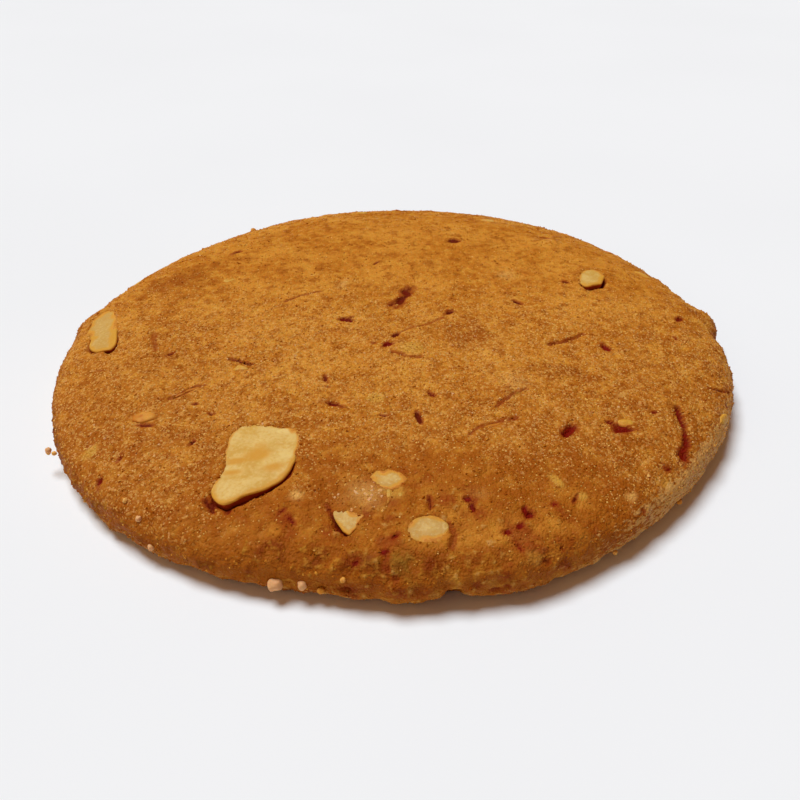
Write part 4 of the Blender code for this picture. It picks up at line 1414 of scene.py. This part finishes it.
class COOKIE_OT_crumbs(bpy.types.Operator):
    """Hang loose crumbs round the side and foot of the cookie"""

    bl_idname = "cookie.crumbs"
    bl_label = "Crumbs"

    def execute(self, context):
        parts = []
        shades = []
        for number, crumb in enumerate(CRUMBS):
            points, quads, triangles = chip(600 + number, columns=20, rows=11, cut=0.84)
            turn = math.radians(crumb.angle)
            reach = crumb.share * edge_radius(np.array(turn))
            place = np.array([reach * math.cos(turn), reach * math.sin(turn), crumb.height])
            points = points * (1.0 + 0.18 * noise(points, 0.35, 650 + number)[:, None])
            parts.append((place + points * crumb.size * 1.15, quads, triangles))
            shades.append(np.full(len(points), 0.65 + 0.35 * crumb.pale))
        points, quads, triangles = joined(parts)
        spots, facing, _, random = crust_spots(SMALL_CRUMBS, 701, side_crumb_weight)
        sizes = random.uniform(0.20, 0.42, len(spots)) * random.uniform(0.7, 1.0, len(spots))
        spots = spots - facing * sizes[:, None] * 0.2
        shape, faces = ball_shape()
        small, small_faces = repeated(shape, faces, spots, sizes, random, 0.25)
        shades.append(np.repeat(random.uniform(0.2, 0.88, len(spots)), len(shape)))
        attributes = {label: np.zeros(len(points) + len(small)) for label in PAINTED}
        attributes["shade"] = np.concatenate(shades)
        faces = [quads, np.concatenate([triangles, small_faces + len(points)])]
        points = np.concatenate([points, small])
        make_piece("side_crumbs", points, faces, dough_grain(), attributes)
        return {"FINISHED"}


# ---------------------------------------------------------------------------------------------
# Stage
# ---------------------------------------------------------------------------------------------

VIEW_DOWN = 34.8  # degrees that the camera looks down
VIEW_DISTANCE = 0.10267  # metres from the camera to the point it looks at
VIEW_AIM = (0.52, -6.04)  # mm, on the floor
VIEW_LENS = 40.5  # mm, on the sensor
VIEW_SENSOR = 36.0  # mm wide
VIEW_NEAREST = 0.005  # metres
FLOOR_HALF = 1.5  # metres
KEY_FROM = (-0.28, 0.17, 1.0)  # direction of the main light
KEY_COLOUR = (0.925, 1.005, 1.06)  # linear red, green and blue
ROOM_COLOUR = "#ffc890"
RIGHT_TINT = "#b8660e"  # multiplies the room's light that comes from the right
RIGHT_SPAN = (-0.4, 0.6)  # how far to the right light comes from, where its tint starts and is full
FRONT_COLOUR = "#ffe6c8"
FRONT_FROM = (-0.55, -0.83, 0.0)  # direction of the light from the viewer's side
FRONT_SPAN = (0.0, 0.9)  # share of that direction where its light starts and is full
BACKDROP_COLOUR = "#eceef0"


def lay_floor(scene):
    """Flat square board under the cookie."""
    mesh = bpy.data.meshes.new("floor")
    corners = [(x * FLOOR_HALF, y * FLOOR_HALF, 0.0) for x, y in ((-1, -1), (1, -1), (1, 1), (-1, 1))]
    mesh.from_pydata(corners, [], [(0, 1, 2, 3)])
    mesh.materials.append(pale_board())
    floor = bpy.data.objects.new("floor", mesh)
    scene.collection.objects.link(floor)


def hang_window(scene):
    """Soft daylight from above, whose rays all come from one direction within its width."""
    lamp = bpy.data.lights.new("window", "SUN")
    lamp.angle = scene.cookie_stage.key_width
    lamp.energy = scene.cookie_stage.key_strength
    lamp.color = KEY_COLOUR
    window = bpy.data.objects.new("window", lamp)
    x, y, z = unit(np.array(KEY_FROM))
    window.rotation_euler = (math.acos(z), 0.0, math.atan2(y, x) + math.pi / 2)
    scene.collection.objects.link(window)


def light_of(hex_colour, strength=1.0):
    """Colour socket's value for light of a colour: linear red, green and blue times its strength."""
    return (*np.array(linear(hex_colour)) * strength, 1.0)


def light_room(scene):
    """Light from all round: warm, brighter towards the ceiling, browner from the right, with a glow
    added from the viewer's side. The camera itself sees a plain, pale backdrop."""
    stage = scene.cookie_stage
    room = bpy.data.worlds.new("soft_room")
    room.use_nodes = True
    tree = room.node_tree
    direction = (add_node(tree, "ShaderNodeTexCoord"), "Generated")
    axes = add_node(tree, "ShaderNodeSeparateXYZ", links={"Vector": direction})
    along = {"operation": "DOT_PRODUCT"}
    lobe = add_node(tree, "ShaderNodeVectorMath", along, {1: FRONT_FROM}, {0: direction})
    shares = []
    for source, (low, high) in (((axes, "X"), RIGHT_SPAN), ((lobe, "Value"), FRONT_SPAN)):
        span = {"From Min": low, "From Max": high}
        shares.append((add_node(tree, "ShaderNodeMapRange", None, span, {"Value": source}), "Result"))
    rightward, forward = shares
    ray = add_node(tree, "ShaderNodeLightPath")
    walls = {6: light_of(ROOM_COLOUR, stage.room_low), 7: light_of(ROOM_COLOUR, stage.room_high)}
    light = add_node(tree, "ShaderNodeMix", {"data_type": "RGBA"}, walls, {0: (axes, "Z")})
    for blend, share, colour in (
        ("MULTIPLY", rightward, light_of(RIGHT_TINT)),
        ("ADD", forward, light_of(FRONT_COLOUR, stage.room_front)),
        ("MIX", (ray, "Is Camera Ray"), light_of(BACKDROP_COLOUR)),
    ):
        settings = {"data_type": "RGBA", "blend_type": blend}
        light = add_node(tree, "ShaderNodeMix", settings, {7: colour}, {0: share, 6: (light, 2)})
    tree.links.new(light.outputs[2], tree.nodes["Background"].inputs["Color"])
    scene.world = room


def aim_camera(scene):
    """Camera that looks down at a point of the floor from in front."""
    lens = bpy.data.cameras.new("camera")
    lens.lens = VIEW_LENS
    lens.sensor_width = VIEW_SENSOR
    lens.clip_start = VIEW_NEAREST
    camera = bpy.data.objects.new("camera", lens)
    down = math.radians(VIEW_DOWN)
    x, y, _ = (np.array([*VIEW_AIM, 0.0]) - outline_middle()) * MM
    camera.location = (x, y - VIEW_DISTANCE * math.cos(down), VIEW_DISTANCE * math.sin(down))
    camera.rotation_euler = (math.pi / 2 - down, 0.0, 0.0)
    scene.collection.objects.link(camera)
    bpy.context.scene.camera = camera


class COOKIE_OT_stage(bpy.types.Operator):
    """Set up the pale floor, the soft light and the camera"""

    bl_idname = "cookie.stage"
    bl_label = "Floor, light and camera"

    def execute(self, context):
        scene = context.scene
        lay_floor(scene)
        hang_window(scene)
        light_room(scene)
        aim_camera(scene)
        scene.view_settings.view_transform = "Standard"
        return {"FINISHED"}


# ---------------------------------------------------------------------------------------------
# Sizes, colours and panel
# ---------------------------------------------------------------------------------------------


class CookieForm(bpy.types.PropertyGroup):
    """Sizes of the baked cookie"""

    radius: FloatProperty(name="Radius", description="Mean radius", default=0.038, unit="LENGTH")
    crown: FloatProperty(name="Crown", description="Height of the middle", default=0.0078, unit="LENGTH")
    widest: FloatProperty(
        name="Widest ring", description="Height of the widest ring", default=0.0028, unit="LENGTH"
    )
    flatness: FloatProperty(name="Flatness", description="Power that keeps the top flat", default=3.4)
    roundness: FloatProperty(name="Roundness", description="Power that rounds the rim", default=2.3)
    turn_under: FloatProperty(
        name="Turn under", description="Share of the radius lost at the base", default=0.058,
        subtype="FACTOR",
    )
    grain: FloatProperty(name="Grain", description="Width of a crust grain", default=0.00032, unit="LENGTH")
    grain_count: IntProperty(name="Grains", description="Number of crust grains", default=24000)
    sugar_count: IntProperty(name="Sugar", description="Number of scattered crystals", default=9000)


def colour_property(name, description, hex_colour):
    """Colour that a user can change, with its default from an sRGB hex colour."""
    return FloatVectorProperty(
        name=name, description=description, default=linear(hex_colour),
        size=3, subtype="COLOR", min=0.0, max=1.0,
    )


class CookieLooks(bpy.types.PropertyGroup):
    """Colours of the baked cookie"""

    crust: colour_property("Crust", "Most of the crust", "#c0751e")
    crust_light: colour_property("Light crust", "Lighter clouds of the crust", "#d28a2e")
    crust_gold: colour_property("Golden crust", "Yellower spots of the crust", "#d89534")
    crust_brown: colour_property("Browned crust", "Hills that baked longer", "#9f530a")
    crust_dark: colour_property("Dark grains", "Darker grains of the crust", "#8a4004")
    # Also laid on pale cells of the crust, partly as painted glints.
    crust_pale: colour_property("Pale grains", "Paler grains of the crust", "#e8b260")
    # Laid over the side with painted shade: darkest under the front's shoulder and darker on the left,
    # lighter at the foot.
    side: colour_property("Side", "The side below the shoulder", "#944c08")
    side_dark: colour_property("Dark side", "Darker blotches of the side", "#6a2c00")
    # Painted highlights: glints of melted sugar glaze.
    fleck: colour_property("Flecks", "Glazed flecks where sugar has melted", "#e0aa68")
    # Laid also at the foot as painted light.
    dust: colour_property("Dust", "Flour and crumbs on the rim", "#d09c56")
    # Painted shade: the dark of pits, cracks, gaps by the nuts and side tears.
    hollow: colour_property("Hollow", "Inside of pits and cracks", "#661a00")
    # Laid with the painted shade of the red pits, as their moist dough.
    wet: colour_property("Moist hollow", "Moist dough inside the pits", "#7c1000")
    # Painted shade, with the colour of the clinging dough, on a nut's side in its open gap.
    gap: colour_property("Gap", "Dough that clings to a nut's side in its open gap", "#a84212")
    reddish: colour_property("Reddish stain", "Dough round the moist pits", "#8e3608")
    ochre: colour_property("Ochre", "Yellower blotches of the front and the side", "#c88a2c")
    yellow: colour_property("Yellow scraps", "Scraps that lie flush in the crust", "#d29c3e")
    fruit: colour_property("Fruit", "Soft green-brown fruit", "#86601c")
    nut: colour_property("Nut", "Nut kernel", "#d0a248")
    nut_light: colour_property("Light nut", "Palest parts of the kernel", "#e5c67c")
    nut_dull: colour_property("Dull nut", "Kernels darkened by the oven", "#c4984e")
    nut_core: colour_property("Nut core", "Deeper parts of the kernel", "#d2962c")
    carrot: colour_property("Carrot", "Baked carrot", "#bc6a18")
    carrot_light: colour_property("Light carrot", "Lighter parts of the carrot", "#d8983c")
    sugar: colour_property("Sugar", "Sugar crystals", "#e2a858")
    sugar_heap: colour_property("Sugar heap", "Crystals crowded together", "#dfaa78")
    floor: colour_property("Floor", "The pale floor", "#f2f6f9")


class CookieStage(bpy.types.PropertyGroup):
    """Light on the stage"""

    key_strength: FloatProperty(name="Window", description="Strength of the main light", default=2.76)
    key_width: FloatProperty(
        name="Window width", description="Angle the main light fills", default=0.50, unit="ROTATION"
    )
    room_low: FloatProperty(name="Room", description="Light from the room at table height", default=0.10)
    room_high: FloatProperty(name="Ceiling", description="Light from overhead", default=0.27)
    room_front: FloatProperty(name="Front", description="Light from the viewer's side", default=0.27)


OPERATORS = (
    COOKIE_OT_stage,
    COOKIE_OT_crust,
    COOKIE_OT_nuts,
    COOKIE_OT_scraps,
    COOKIE_OT_shreds,
    COOKIE_OT_grains,
    COOKIE_OT_sugar,
    COOKIE_OT_crumbs,
)


class COOKIE_PT_panel(bpy.types.Panel):
    """Lists the cookie's sizes, colours and steps"""

    bl_idname = "COOKIE_PT_panel"
    bl_label = "Carrot cake cookie"
    bl_space_type = "VIEW_3D"
    bl_region_type = "UI"
    bl_category = "Cookie"

    def draw(self, context):
        scene = context.scene
        for group in (scene.cookie_form, scene.cookie_looks, scene.cookie_stage):
            box = self.layout.box()
            for label in group.bl_rna.properties.keys():
                if label not in ("rna_type", "name"):
                    box.prop(group, label)
        for operator in OPERATORS:
            self.layout.operator(operator.bl_idname)


GROUPS = {"cookie_form": CookieForm, "cookie_looks": CookieLooks, "cookie_stage": CookieStage}


def register():
    for group in GROUPS.values():
        bpy.utils.register_class(group)
    for label, group in GROUPS.items():
        setattr(bpy.types.Scene, label, PointerProperty(type=group))
    for operator in OPERATORS:
        bpy.utils.register_class(operator)
    bpy.utils.register_class(COOKIE_PT_panel)


def unregister():
    bpy.utils.unregister_class(COOKIE_PT_panel)
    for operator in reversed(OPERATORS):
        bpy.utils.unregister_class(operator)
    for label in GROUPS:
        delattr(bpy.types.Scene, label)
    for group in reversed(GROUPS.values()):
        bpy.utils.unregister_class(group)


def main():
    register()
    bpy.ops.cookie.stage()
    bpy.ops.cookie.crust()
    bpy.ops.cookie.nuts()
    bpy.ops.cookie.scraps()
    bpy.ops.cookie.shreds()
    bpy.ops.cookie.grains()
    bpy.ops.cookie.sugar()
    bpy.ops.cookie.crumbs()


if __name__ == "__main__":
    main()
